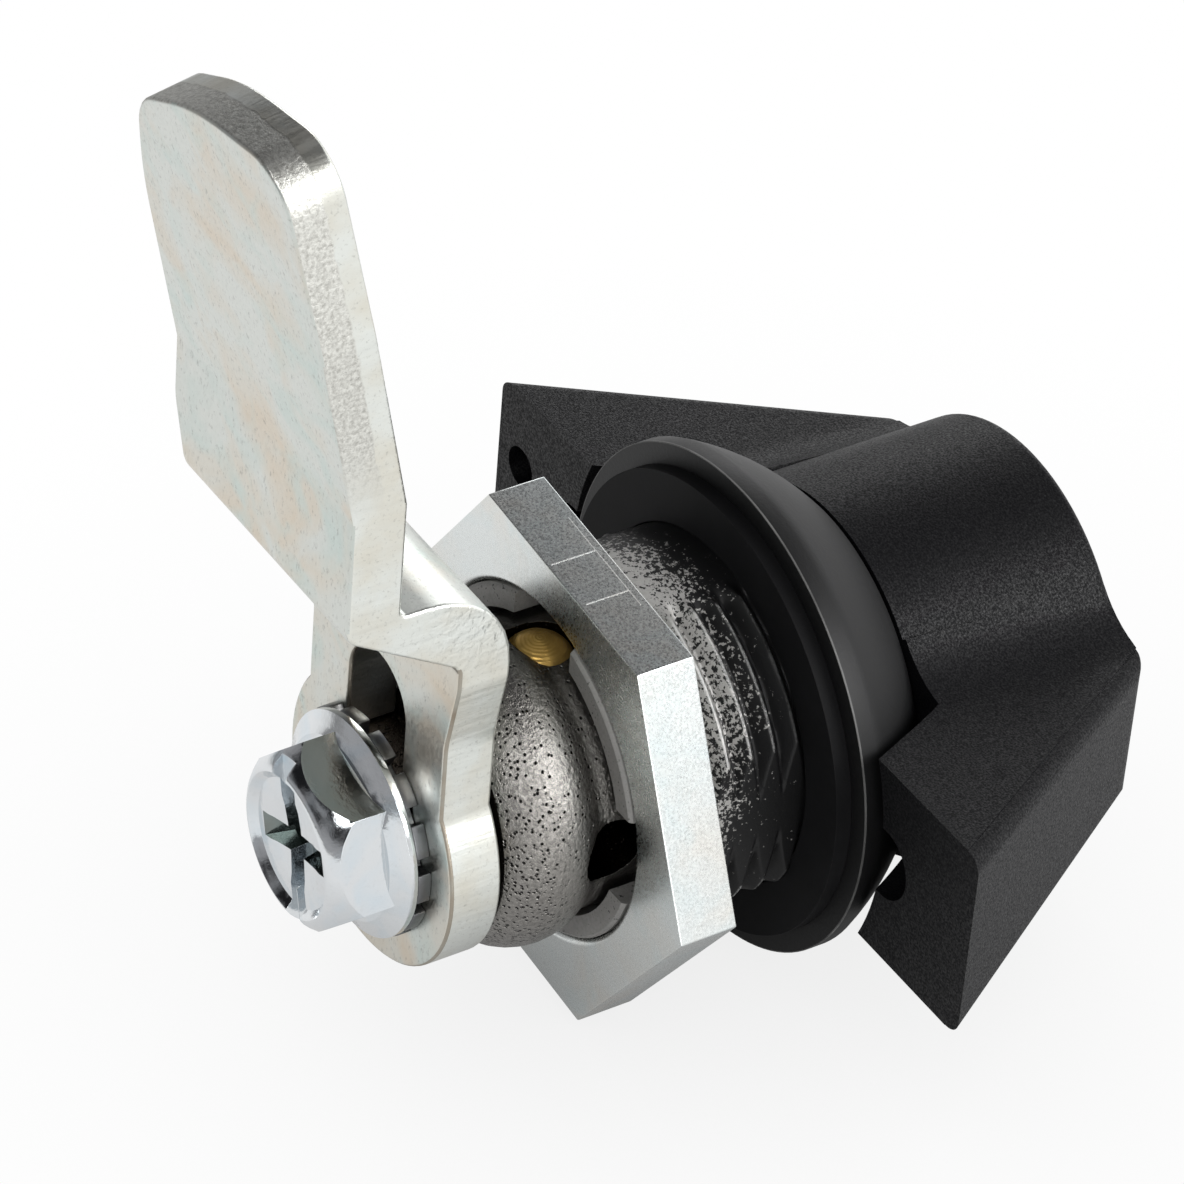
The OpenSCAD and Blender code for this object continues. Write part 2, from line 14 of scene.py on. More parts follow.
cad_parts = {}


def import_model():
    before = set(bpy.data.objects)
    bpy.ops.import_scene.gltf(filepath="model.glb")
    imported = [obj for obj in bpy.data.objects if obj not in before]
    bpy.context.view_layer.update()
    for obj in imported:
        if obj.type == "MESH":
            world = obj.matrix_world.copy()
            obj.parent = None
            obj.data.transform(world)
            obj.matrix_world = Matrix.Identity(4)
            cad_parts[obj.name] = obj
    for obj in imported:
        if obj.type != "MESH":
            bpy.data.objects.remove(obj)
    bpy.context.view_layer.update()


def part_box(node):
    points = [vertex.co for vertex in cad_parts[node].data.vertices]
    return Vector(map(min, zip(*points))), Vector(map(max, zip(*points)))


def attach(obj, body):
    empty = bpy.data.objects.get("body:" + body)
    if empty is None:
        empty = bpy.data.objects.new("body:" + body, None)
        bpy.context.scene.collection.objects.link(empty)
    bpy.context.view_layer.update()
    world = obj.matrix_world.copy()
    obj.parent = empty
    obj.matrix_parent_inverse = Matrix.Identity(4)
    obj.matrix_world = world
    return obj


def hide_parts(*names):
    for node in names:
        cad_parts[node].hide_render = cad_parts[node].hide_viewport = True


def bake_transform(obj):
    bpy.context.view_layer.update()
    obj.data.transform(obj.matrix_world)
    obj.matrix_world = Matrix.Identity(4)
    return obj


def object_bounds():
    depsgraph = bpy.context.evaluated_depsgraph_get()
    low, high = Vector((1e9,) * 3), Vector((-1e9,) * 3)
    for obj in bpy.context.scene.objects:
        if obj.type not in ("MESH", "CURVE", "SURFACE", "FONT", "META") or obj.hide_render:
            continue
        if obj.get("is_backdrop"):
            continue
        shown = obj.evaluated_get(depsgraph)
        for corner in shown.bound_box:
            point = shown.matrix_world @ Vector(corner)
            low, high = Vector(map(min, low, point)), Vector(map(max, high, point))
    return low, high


log = logging.getLogger("cam_lock")

MM = 0.001
IMAGE_SIDE = 1184

# Vertices closer than this are one, and a flat cut is exact to the second length.
TOUCH_MM = 0.0005
CUT_MM = 0.0001

# Faces that meet at less than this many degrees are one flat face.
FLAT_ANGLE = 0.2

# Socket numbers of a Mix node: its two colours and their mix, and its two plain values.
MIX_A, MIX_B, MIXED = 6, 7, 2
VALUE_A, VALUE_B = 2, 3

# Radians that a wave texture runs per unit of length.
WAVE_RATE = 20

Inputs = dict[str | int, object]
Span = tuple[float, float]
Triple = tuple[float, float, float]


class Body(Enum):
    """The rigid bodies that pieces ride on."""

    HOUSING = "housing"
    KNOB = "knob"
    PLUNGER = "plunger"


class Carve(Enum):
    """What a tool does to the mesh that it meets."""

    CUT_AWAY = "DIFFERENCE"
    KEEP_INSIDE = "INTERSECT"


def linear(colour: str) -> tuple[float, float, float, float]:
    """Turns an sRGB hex colour to linear light.

    Args:
        colour: Six hex digits after a hash sign.

    Returns:
        Linear red, green and blue, and an alpha of 1.
    """
    parts = [int(colour[i:i + 2], 16) / 255 for i in (1, 3, 5)]
    light = [p / 12.92 if p <= 0.04045 else ((p + 0.055) / 1.055) ** 2.4 for p in parts]
    return (*light, 1.0)


def per_mm(size_mm: float) -> float:
    """Gives the texture scale at which one cell of a pattern is size_mm across."""
    return 1 / (size_mm * MM)


def add_node(
    tree: bpy.types.NodeTree, kind: str, inputs: Inputs | None = None, **settings: object,
) -> bpy.types.Node:
    """Adds a shader node, sets it up and links it.

    Args:
        tree: Node tree of a material or the world.
        kind: Type name of the node.
        inputs: Socket name or number to a constant, or to the output socket that feeds it.
        settings: Properties of the node itself.

    Returns:
        The new node.
    """
    made = tree.nodes.new(kind)
    for key, value in settings.items():
        setattr(made, key, value)
    for key, value in (inputs or {}).items():
        socket = made.inputs[key]
        if isinstance(value, bpy.types.NodeSocket):
            tree.links.new(value, socket)
        else:
            socket.default_value = value
    return made


def new_material(name: str) -> tuple[bpy.types.Material, bpy.types.NodeTree, bpy.types.NodeSocket]:
    """Starts a material with no nodes but the coordinates of its own piece.

    Args:
        name: Name of the finish.

    Returns:
        The material, its node tree and the Object coordinate socket.
    """
    made = bpy.data.materials.new(name)
    made.use_nodes = True
    made.node_tree.nodes.clear()
    place = add_node(made.node_tree, "ShaderNodeTexCoord").outputs["Object"]
    return made, made.node_tree, place


def close_material(tree: bpy.types.NodeTree, inputs: Inputs) -> None:
    """Ends a material with one principled shader.

    Args:
        tree: Node tree of the material.
        inputs: Socket name to a constant or to the output socket that feeds it.
    """
    shader = add_node(tree, "ShaderNodeBsdfPrincipled", inputs)
    add_node(tree, "ShaderNodeOutputMaterial", {"Surface": shader.outputs[0]})


@dataclass(frozen=True)
class MouldedNylon:
    """Black glass-filled nylon from a spark-eroded mould: a matt skin of fine grains with pale glints.

    The real grain is about half as wide. It is drawn coarser so that it shows.
    """

    name: str = "moulded_nylon"
    dark: str = "#08080a"
    pale: str = "#0e0e10"
    glint: str = "#303134"
    grain_mm: float = 0.12
    grain_depth_mm: float = 0.02
    grain_strength: float = 0.9
    cloud_mm: float = 9.0
    glint_at: Span = (0.66, 0.8)
    glint_share: float = 0.5
    rough_at: Span = (0.3, 0.75)
    rough: Span = (0.56, 0.4)
    shine_at: Span = (0.4, 0.7)
    shine: Span = (0.07, 0.28)

    def material(self) -> bpy.types.Material:
        """Builds the material."""
        made, tree, place = new_material(self.name)
        grain = add_node(tree, "ShaderNodeTexNoise", {
            "Vector": place, "Scale": per_mm(self.grain_mm), "Detail": 2.0, "Roughness": 0.6})
        cloud = add_node(tree, "ShaderNodeTexNoise", {
            "Vector": place, "Scale": per_mm(self.cloud_mm), "Detail": 3.0})
        skin = add_node(tree, "ShaderNodeMix", {
            "Factor": cloud.outputs[0], MIX_A: linear(self.dark), MIX_B: linear(self.pale)}, data_type="RGBA")
        spark = add_node(tree, "ShaderNodeMapRange", {
            "Value": grain.outputs[0], "From Min": self.glint_at[0], "From Max": self.glint_at[1],
            "To Min": 0.0, "To Max": self.glint_share})
        colour = add_node(tree, "ShaderNodeMix", {
            "Factor": spark.outputs[0], MIX_A: skin.outputs[MIXED], MIX_B: linear(self.glint)},
            data_type="RGBA")
        gloss = add_node(tree, "ShaderNodeMapRange", {
            "Value": grain.outputs[0], "From Min": self.rough_at[0], "From Max": self.rough_at[1],
            "To Min": self.rough[0], "To Max": self.rough[1]})
        glitter = add_node(tree, "ShaderNodeMapRange", {
            "Value": grain.outputs[0], "From Min": self.shine_at[0], "From Max": self.shine_at[1],
            "To Min": self.shine[0], "To Max": self.shine[1]})
        bump = add_node(tree, "ShaderNodeBump", {
            "Height": grain.outputs[0], "Strength": self.grain_strength,
            "Distance": self.grain_depth_mm * MM})
        close_material(tree, {
            "Base Color": colour.outputs[MIXED], "Roughness": gloss.outputs[0], "Normal": bump.outputs[0],
            "Specular IOR Level": glitter.outputs[0]})
        return made


@dataclass(frozen=True)
class MouldedRubber:
    """Black moulded rubber: dull, with a faint bloom."""

    name: str = "moulded_rubber"
    dark: str = "#111112"
    bloom: str = "#1a1a1b"
    cloud_mm: float = 3.0
    grain_mm: float = 0.3
    grain_depth_mm: float = 0.02
    grain_strength: float = 0.25
    rough: float = 0.55
    shine: float = 0.06

    def material(self) -> bpy.types.Material:
        """Builds the material."""
        made, tree, place = new_material(self.name)
        cloud = add_node(tree, "ShaderNodeTexNoise", {
            "Vector": place, "Scale": per_mm(self.cloud_mm), "Detail": 4.0})
        grain = add_node(tree, "ShaderNodeTexNoise", {"Vector": place, "Scale": per_mm(self.grain_mm)})
        colour = add_node(tree, "ShaderNodeMix", {
            "Factor": cloud.outputs[0], MIX_A: linear(self.dark), MIX_B: linear(self.bloom)},
            data_type="RGBA")
        bump = add_node(tree, "ShaderNodeBump", {
            "Height": grain.outputs[0], "Strength": self.grain_strength,
            "Distance": self.grain_depth_mm * MM})
        close_material(tree, {
            "Base Color": colour.outputs[MIXED], "Roughness": self.rough, "Normal": bump.outputs[0],
            "Specular IOR Level": self.shine})
        return made


@dataclass(frozen=True)
class CoatedCasting:
    """Zinc die casting with a satin black coat whose overspray thins out in specks along the barrel.

    The thread's crests carry broken bright lines, part wear and part painted highlight.
    The rosette's rim carries patches of painted highlight, and the end ring is darker.
    """

    name: str = "coated_casting"
    coat: str = "#0c0c0d"
    zinc: str = "#d2d1ce"
    stain: str = "#918f8c"
    # Pale metal: on the thread's crests part wear and part painted highlight, on the rosette's rim painted
    # highlight.
    wear_and_highlight: str = "#c4c4c2"
    end_tone: str = "#3b3a38"
    speck_mm: float = 0.26
    speck_edge: Span = (-0.17, -0.11)
    cloud_mm: float = 2.4
    cloud_sway: float = 0.24
    bare_mm: Span = (2.2, 8.8)
    bare_level: Span = (0.3, 0.68)
    bare_lean: float = 0.2
    crest_r_mm: Span = (10.95, 10.995)
    crest_bright_mm: Span = (1.0, 6.0)
    crest_bright_share: Span = (0.05, 0.9)
    crest_bright_at: Span = (0.42, 0.58)
    crest_bright_least: float = 0.1
    rim_r_mm: float = 14.93
    rim_from_mm: float = -1.1
    rim_highlight_share: float = 0.3
    end_mm: Span = (8.0, 9.0)
    end_tone_share: float = 0.5
    metal_share: float = 0.6
    rough: Span = (0.6, 0.5)
    grain_depth_mm: float = 0.03
    grain_strength: float = 0.4
    shine: float = 0.3

    def material(self) -> bpy.types.Material:
        """Builds the material."""
        made, tree, place = new_material(self.name)
        split = add_node(tree, "ShaderNodeSeparateXYZ", {0: place})
        along = split.outputs["Y"]
        flat = add_node(tree, "ShaderNodeCombineXYZ", {0: split.outputs["X"], 1: 0.0, 2: split.outputs["Z"]})
        out = add_node(
            tree, "ShaderNodeVectorMath", {0: flat.outputs[0]}, operation="LENGTH").outputs["Value"]
        speck = add_node(tree, "ShaderNodeTexNoise", {
            "Vector": place, "Scale": per_mm(self.speck_mm), "Detail": 3.0, "Roughness": 0.65})
        cloud = add_node(tree, "ShaderNodeTexNoise", {
            "Vector": place, "Scale": per_mm(self.cloud_mm), "Detail": 2.0})
        coated = self.coat_share(tree, place, along, speck.outputs[0], cloud.outputs[0])
        bright = self.painted_bright_share(tree, along, out, speck.outputs[0], cloud.outputs[0])
        metal = add_node(tree, "ShaderNodeMix", {
            "Factor": speck.outputs[0], MIX_A: linear(self.stain), MIX_B: linear(self.zinc)},
            data_type="RGBA")
        # Darker towards the barrel's end ring.
        end = add_node(tree, "ShaderNodeMapRange", {
            "Value": along, "From Min": self.end_mm[0] * MM, "From Max": self.end_mm[1] * MM,
            "To Max": self.end_tone_share})
        end_toned = add_node(tree, "ShaderNodeMix", {
            "Factor": end.outputs[0], MIX_A: metal.outputs[MIXED], MIX_B: linear(self.end_tone)}, data_type="RGBA")
        skin = add_node(tree, "ShaderNodeMix", {
            "Factor": coated, MIX_A: end_toned.outputs[MIXED], MIX_B: linear(self.coat)}, data_type="RGBA")
        colour = add_node(tree, "ShaderNodeMix", {
            "Factor": bright, MIX_A: skin.outputs[MIXED], MIX_B: linear(self.wear_and_highlight)}, data_type="RGBA")
        bare = add_node(tree, "ShaderNodeMath", {0: 1.0, 1: coated}, operation="SUBTRACT")
        metallic = add_node(tree, "ShaderNodeMath", {
            0: bare.outputs[0], 1: self.metal_share}, operation="MULTIPLY")
        rough = add_node(tree, "ShaderNodeMapRange", {
            "Value": coated, "To Min": self.rough[0], "To Max": self.rough[1]})
        bump = add_node(tree, "ShaderNodeBump", {
            "Height": speck.outputs[0], "Strength": self.grain_strength,
            "Distance": self.grain_depth_mm * MM})
        close_material(tree, {
            "Base Color": colour.outputs[MIXED], "Metallic": metallic.outputs[0],
            "Roughness": rough.outputs[0], "Normal": bump.outputs[0], "Specular IOR Level": self.shine})
        return made

    def coat_share(
        self, tree: bpy.types.NodeTree, place: bpy.types.NodeSocket, along: bpy.types.NodeSocket,
        speck: bpy.types.NodeSocket, cloud: bpy.types.NodeSocket,
    ) -> bpy.types.NodeSocket:
        """Works out where the coat covers the metal: all of the rosette, and specks along the barrel.

        Args:
            tree: Node tree of the material.
            place: Object coordinates.
            along: Place along the lock's axis.
            speck: Fine noise.
            cloud: Broad noise.

        Returns:
            The share of coat.
        """
        run = add_node(tree, "ShaderNodeVectorMath", {
            0: place, 1: (0.0, 1.0, self.bare_lean)}, operation="DOT_PRODUCT")
        level = add_node(tree, "ShaderNodeMapRange", {
            "Value": run.outputs["Value"], "From Min": self.bare_mm[0] * MM, "From Max": self.bare_mm[1] * MM,
            "To Min": self.bare_level[0], "To Max": self.bare_level[1]})
        drift = add_node(tree, "ShaderNodeMath", {
            0: cloud, 1: self.cloud_sway, 2: level.outputs[0]}, operation="MULTIPLY_ADD")
        edge = add_node(tree, "ShaderNodeMath", {0: speck, 1: drift.outputs[0]}, operation="SUBTRACT")
        spray = add_node(tree, "ShaderNodeMapRange", {
            "Value": edge.outputs[0], "From Min": self.speck_edge[0], "From Max": self.speck_edge[1]})
        rosette = add_node(tree, "ShaderNodeMath", {0: along, 1: 0.0}, operation="LESS_THAN")
        return add_node(tree, "ShaderNodeMath", {
            0: spray.outputs[0], 1: rosette.outputs[0]}, operation="MAXIMUM").outputs[0]

    def painted_bright_share(
        self, tree: bpy.types.NodeTree, along: bpy.types.NodeSocket, out: bpy.types.NodeSocket,
        speck: bpy.types.NodeSocket, cloud: bpy.types.NodeSocket,
    ) -> bpy.types.NodeSocket:
        """Works out where bright metal is painted: broken lines on the crests, part wear and part painted
        highlight, and patches of painted highlight on the rim.

        Args:
            tree: Node tree of the material.
            along: Place along the lock's axis.
            out: Distance from that axis.
            speck: Fine noise.
            cloud: Broad noise.

        Returns:
            The share of painted bright metal.
        """
        # Broken bright lines on the crests: part wear, part painted highlight.
        crest = add_node(tree, "ShaderNodeMapRange", {
            "Value": out, "From Min": self.crest_r_mm[0] * MM, "From Max": self.crest_r_mm[1] * MM})
        barrel = add_node(tree, "ShaderNodeMath", {0: along, 1: 0.0}, operation="GREATER_THAN")
        front = add_node(tree, "ShaderNodeMapRange", {
            "Value": along, "From Min": self.crest_bright_mm[0] * MM, "From Max": self.crest_bright_mm[1] * MM,
            "To Min": self.crest_bright_share[0], "To Max": self.crest_bright_share[1]})
        ridge = add_node(tree, "ShaderNodeMath", {
            0: crest.outputs[0], 1: barrel.outputs[0]}, operation="MULTIPLY")
        broken = add_node(tree, "ShaderNodeMapRange", {
            "Value": speck, "From Min": self.crest_bright_at[0], "From Max": self.crest_bright_at[1],
            "To Min": self.crest_bright_least, "To Max": 1.0})
        crest_bright = add_node(tree, "ShaderNodeMath", {
            0: front.outputs[0], 1: broken.outputs[0]}, operation="MULTIPLY")
        lines = add_node(tree, "ShaderNodeMath", {
            0: ridge.outputs[0], 1: crest_bright.outputs[0]}, operation="MULTIPLY")
        # Patches on the rosette's rear rim: painted highlight, standing in for the edge's catch-light.
        rim_out = add_node(tree, "ShaderNodeMath", {0: out, 1: self.rim_r_mm * MM}, operation="GREATER_THAN")
        rim_end = add_node(tree, "ShaderNodeMath", {
            0: along, 1: self.rim_from_mm * MM}, operation="GREATER_THAN")
        rim = add_node(tree, "ShaderNodeMath", {
            0: rim_out.outputs[0], 1: rim_end.outputs[0]}, operation="MULTIPLY")
        patchy = add_node(tree, "ShaderNodeMath", {0: cloud, 1: self.rim_highlight_share}, operation="MULTIPLY")
        patches = add_node(tree, "ShaderNodeMath", {
            0: rim.outputs[0], 1: patchy.outputs[0]}, operation="MULTIPLY")
        return add_node(tree, "ShaderNodeMath", {
            0: lines.outputs[0], 1: patches.outputs[0]}, operation="MAXIMUM").outputs[0]


@dataclass(frozen=True)
class ZincPlate:
    """Bright zinc plate with a clear passivate: pale metal with faint rainbow clouds, specks and hairlines.

    The real hairlines are finer. They are drawn coarser so that they show.
    """

    name: str
    base: str = "#c9cbc8"
    warm: str = "#cdc7bf"
    cool: str = "#bfc8c6"
    speck: str = "#7d7e7b"
    cloud_mm: float = 5.0
    tint_share: float = 0.6
    warm_at: Span = (0.45, 0.7)
    cool_at: Span = (0.48, 0.75)
    rough_low: float = 0.2
    rough_high: float = 0.36
    hairline_mm: float = 0.14
    hairline_run: float = 1.0
    hairline_at: Span = (0.3, 0.7)
    speck_mm: float = 0.3
    speck_at: Span = (0.56, 0.74)
    speck_share: float = 0.3
    speck_sink: float = 0.25
    ripple_mm: float = 0.9
    ripple_depth_mm: float = 0.012
    ripple_strength: float = 0.35

    def material(self) -> bpy.types.Material:
        """Builds the material."""
        made, tree, place = new_material(self.name)
        cloud = add_node(tree, "ShaderNodeTexNoise", {
            "Vector": place, "Scale": per_mm(self.cloud_mm), "Detail": 3.0, "Distortion": 0.6})
        tint = add_node(tree, "ShaderNodeTexNoise", {
            "Vector": place, "Scale": per_mm(self.cloud_mm * self.tint_share), "Detail": 2.0,
            "Distortion": 0.8})
        streak = add_node(tree, "ShaderNodeMapping", {
            "Vector": place, "Scale": (1.0, 1.0, 1 / self.hairline_run)})
        hair = add_node(tree, "ShaderNodeTexNoise", {
            "Vector": streak.outputs[0], "Scale": per_mm(self.hairline_mm), "Detail": 2.0})
        grain = add_node(tree, "ShaderNodeTexNoise", {
            "Vector": streak.outputs[0], "Scale": per_mm(self.speck_mm), "Detail": 3.0, "Roughness": 0.7})
        ripple = add_node(tree, "ShaderNodeTexNoise", {
            "Vector": place, "Scale": per_mm(self.ripple_mm), "Detail": 3.0})
        warm = add_node(tree, "ShaderNodeMapRange", {
            "Value": cloud.outputs[0], "From Min": self.warm_at[0], "From Max": self.warm_at[1]})
        cool = add_node(tree, "ShaderNodeMapRange", {
            "Value": tint.outputs[0], "From Min": self.cool_at[0], "From Max": self.cool_at[1]})
        first = add_node(tree, "ShaderNodeMix", {
            "Factor": warm.outputs[0], MIX_A: linear(self.base), MIX_B: linear(self.warm)}, data_type="RGBA")
        second = add_node(tree, "ShaderNodeMix", {
            "Factor": cool.outputs[0], MIX_A: first.outputs[MIXED], MIX_B: linear(self.cool)},
            data_type="RGBA")
        spots = add_node(tree, "ShaderNodeMapRange", {
            "Value": grain.outputs[0], "From Min": self.speck_at[0], "From Max": self.speck_at[1],
            "To Max": self.speck_share})
        colour = add_node(tree, "ShaderNodeMix", {
            "Factor": spots.outputs[0], MIX_A: second.outputs[MIXED], MIX_B: linear(self.speck)},
            data_type="RGBA")
        rough = add_node(tree, "ShaderNodeMapRange", {
            "Value": hair.outputs[0], "From Min": self.hairline_at[0], "From Max": self.hairline_at[1],
            "To Min": self.rough_low, "To Max": self.rough_high})
        height = add_node(tree, "ShaderNodeMath", {
            0: grain.outputs[0], 1: -self.speck_sink, 2: ripple.outputs[0]}, operation="MULTIPLY_ADD")
        bump = add_node(tree, "ShaderNodeBump", {
            "Height": height.outputs[0], "Strength": self.ripple_strength,
            "Distance": self.ripple_depth_mm * MM})
        close_material(tree, {
            "Base Color": colour.outputs[MIXED], "Metallic": 1.0, "Roughness": rough.outputs[0],
            "Normal": bump.outputs[0]})
        return made


@dataclass(frozen=True)
class ShearedEdge:
    """Edge of plated sheet steel as the press cut it: a smooth sheared band and a torn, grainy band.

    The torn band runs along the blade's front face. One stretch at the crank is dented by the press.
    """

    name: str = "sheared_edge"
    smooth: str = "#e4e7e2"
    warm: str = "#dddbd0"
    grime: str = "#8d8c86"
    torn: str = "#dcdcd6"
    rough: str = "#b3b2ac"
    lean: float = 12.0
    bend_mm: Span = (28.5, 27.9)
    torn_mm: float = 2.0
    torn_sway_mm: float = 0.4
    torn_fade_mm: float = 0.12
    torn_rise_mm: float = 5.0
    wave_mm: float = 0.9
    tear_mm: float = 0.24
    tear_at: Span = (0.34, 0.6)
    cloud_mm: float = 3.5
    cloud_at: Span = (0.4, 0.65)
    grime_at: Span = (0.56, 0.72)
    grime_share: float = 0.4
    streak_mm: float = 0.5
    streak_run: float = 0.12
    dent_mm: Triple = (-7.5, 19.6, 20.2)
    dent_reach_mm: Span = (2.6, 5.5)
    dent_depth: Span = (2.6, 0.35)
    peel_mm: float = 0.5
    torn_sink: float = 0.8
    gloss: Span = (0.3, 0.42)
    relief_mm: float = 0.06
    relief_strength: float = 0.6

    def material(self) -> bpy.types.Material:
        """Builds the material."""
        made, tree, place = new_material(self.name)
        tear = add_node(tree, "ShaderNodeTexNoise", {
            "Vector": place, "Scale": per_mm(self.tear_mm), "Detail": 4.0, "Roughness": 0.7}).outputs[0]
        mask = self.torn_share(tree, place)
        grain = add_node(tree, "ShaderNodeMapRange", {
            "Value": tear, "From Min": self.tear_at[0], "From Max": self.tear_at[1]})
        rough_skin = add_node(tree, "ShaderNodeMix", {
            "Factor": grain.outputs[0], MIX_A: linear(self.rough), MIX_B: linear(self.torn)},
            data_type="RGBA")
        cloud = add_node(tree, "ShaderNodeTexNoise", {
            "Vector": place, "Scale": per_mm(self.cloud_mm), "Detail": 3.0})
        tone = add_node(tree, "ShaderNodeMapRange", {
            "Value": cloud.outputs[0], "From Min": self.cloud_at[0], "From Max": self.cloud_at[1]})
        sheen = add_node(tree, "ShaderNodeMix", {
            "Factor": tone.outputs[0], MIX_A: linear(self.smooth), MIX_B: linear(self.warm)},
            data_type="RGBA")
        dirt = add_node(tree, "ShaderNodeMapRange", {
            "Value": tear, "From Min": self.grime_at[0], "From Max": self.grime_at[1],
            "To Max": self.grime_share})
        plain = add_node(tree, "ShaderNodeMix", {
            "Factor": dirt.outputs[0], MIX_A: sheen.outputs[MIXED], MIX_B: linear(self.grime)},
            data_type="RGBA")
        colour = add_node(tree, "ShaderNodeMix", {
            "Factor": mask, MIX_A: plain.outputs[MIXED], MIX_B: rough_skin.outputs[MIXED]}, data_type="RGBA")
        gloss = add_node(tree, "ShaderNodeMapRange", {
            "Value": mask, "To Min": self.gloss[0], "To Max": self.gloss[1]})
        bump = add_node(tree, "ShaderNodeBump", {
            "Height": self.relief(tree, place, tear, mask), "Strength": self.relief_strength,
            "Distance": self.relief_mm * MM})
        close_material(tree, {
            "Base Color": colour.outputs[MIXED], "Metallic": 1.0, "Roughness": gloss.outputs[0],
            "Normal": bump.outputs[0]})
        return made

    def torn_share(self, tree: bpy.types.NodeTree, place: bpy.types.NodeSocket) -> bpy.types.NodeSocket:
        """Works out where the edge is torn: a wavy band along the blade's front, from the bend upwards.

        Args:
            tree: Node tree of the material.
            place: Object coordinates.

        Returns:
            The share of torn metal.
        """
        c, n = math.cos(math.radians(self.lean)), math.sin(math.radians(self.lean))
        y, z = self.bend_mm
        wave = add_node(tree, "ShaderNodeTexNoise", {
            "Vector": place, "Scale": per_mm(self.wave_mm), "Detail": 3.0})
        depth = add_node(tree, "ShaderNodeVectorMath", {0: place, 1: (0.0, -c, n)}, operation="DOT_PRODUCT")
        rise = add_node(tree, "ShaderNodeVectorMath", {0: place, 1: (0.0, n, c)}, operation="DOT_PRODUCT")
        limit = add_node(tree, "ShaderNodeMath", {
            0: wave.outputs[0], 1: self.torn_sway_mm * MM,
            2: (self.torn_mm - self.torn_sway_mm / 2 - y * c + z * n) * MM}, operation="MULTIPLY_ADD")
        near = add_node(tree, "ShaderNodeMath", {
            0: limit.outputs[0], 1: depth.outputs["Value"]}, operation="SUBTRACT")
        band = add_node(tree, "ShaderNodeMapRange", {
            "Value": near.outputs[0], "From Min": 0.0, "From Max": self.torn_fade_mm * MM})
        start_mm = y * n + z * c
        above = add_node(tree, "ShaderNodeMapRange", {
            "Value": rise.outputs["Value"], "From Min": start_mm * MM,
            "From Max": (start_mm + self.torn_rise_mm) * MM})
        return add_node(tree, "ShaderNodeMath", {
            0: band.outputs[0], 1: above.outputs[0]}, operation="MULTIPLY").outputs[0]

    def relief(
        self, tree: bpy.types.NodeTree, place: bpy.types.NodeSocket, tear: bpy.types.NodeSocket,
        mask: bpy.types.NodeSocket,
    ) -> bpy.types.NodeSocket:
        """Works out the height of the edge: streaks across it, dents at the crank and a sunk torn band.

        Args:
            tree: Node tree of the material.
            place: Object coordinates.
            tear: Fine noise of the torn band.
            mask: Share of torn metal.

        Returns:
            The height, as a share of the relief.
        """
        across = add_node(tree, "ShaderNodeMapping", {"Vector": place, "Scale": (1.0, self.streak_run, 1.0)})
        streak = add_node(tree, "ShaderNodeTexNoise", {
            "Vector": across.outputs[0], "Scale": per_mm(self.streak_mm), "Detail": 2.0})
        reach = add_node(tree, "ShaderNodeVectorMath", {
            0: place, 1: tuple(v * MM for v in self.dent_mm)}, operation="DISTANCE")
        struck = add_node(tree, "ShaderNodeMapRange", {
            "Value": reach.outputs["Value"],
            "From Min": self.dent_reach_mm[0] * MM, "From Max": self.dent_reach_mm[1] * MM,
            "To Min": self.dent_depth[0], "To Max": self.dent_depth[1]})
        peel = add_node(tree, "ShaderNodeTexNoise", {
            "Vector": place, "Scale": per_mm(self.peel_mm), "Detail": 2.0, "Distortion": 0.5})
        dents = add_node(tree, "ShaderNodeMath", {
            0: peel.outputs[0], 1: struck.outputs[0], 2: streak.outputs[0]}, operation="MULTIPLY_ADD")
        height = add_node(tree, "ShaderNodeMath", {
            0: tear, 1: mask, 2: dents.outputs[0]}, operation="MULTIPLY_ADD")
        return add_node(tree, "ShaderNodeMath", {
            0: mask, 1: -self.torn_sink, 2: height.outputs[0]}, operation="MULTIPLY_ADD").outputs[0]


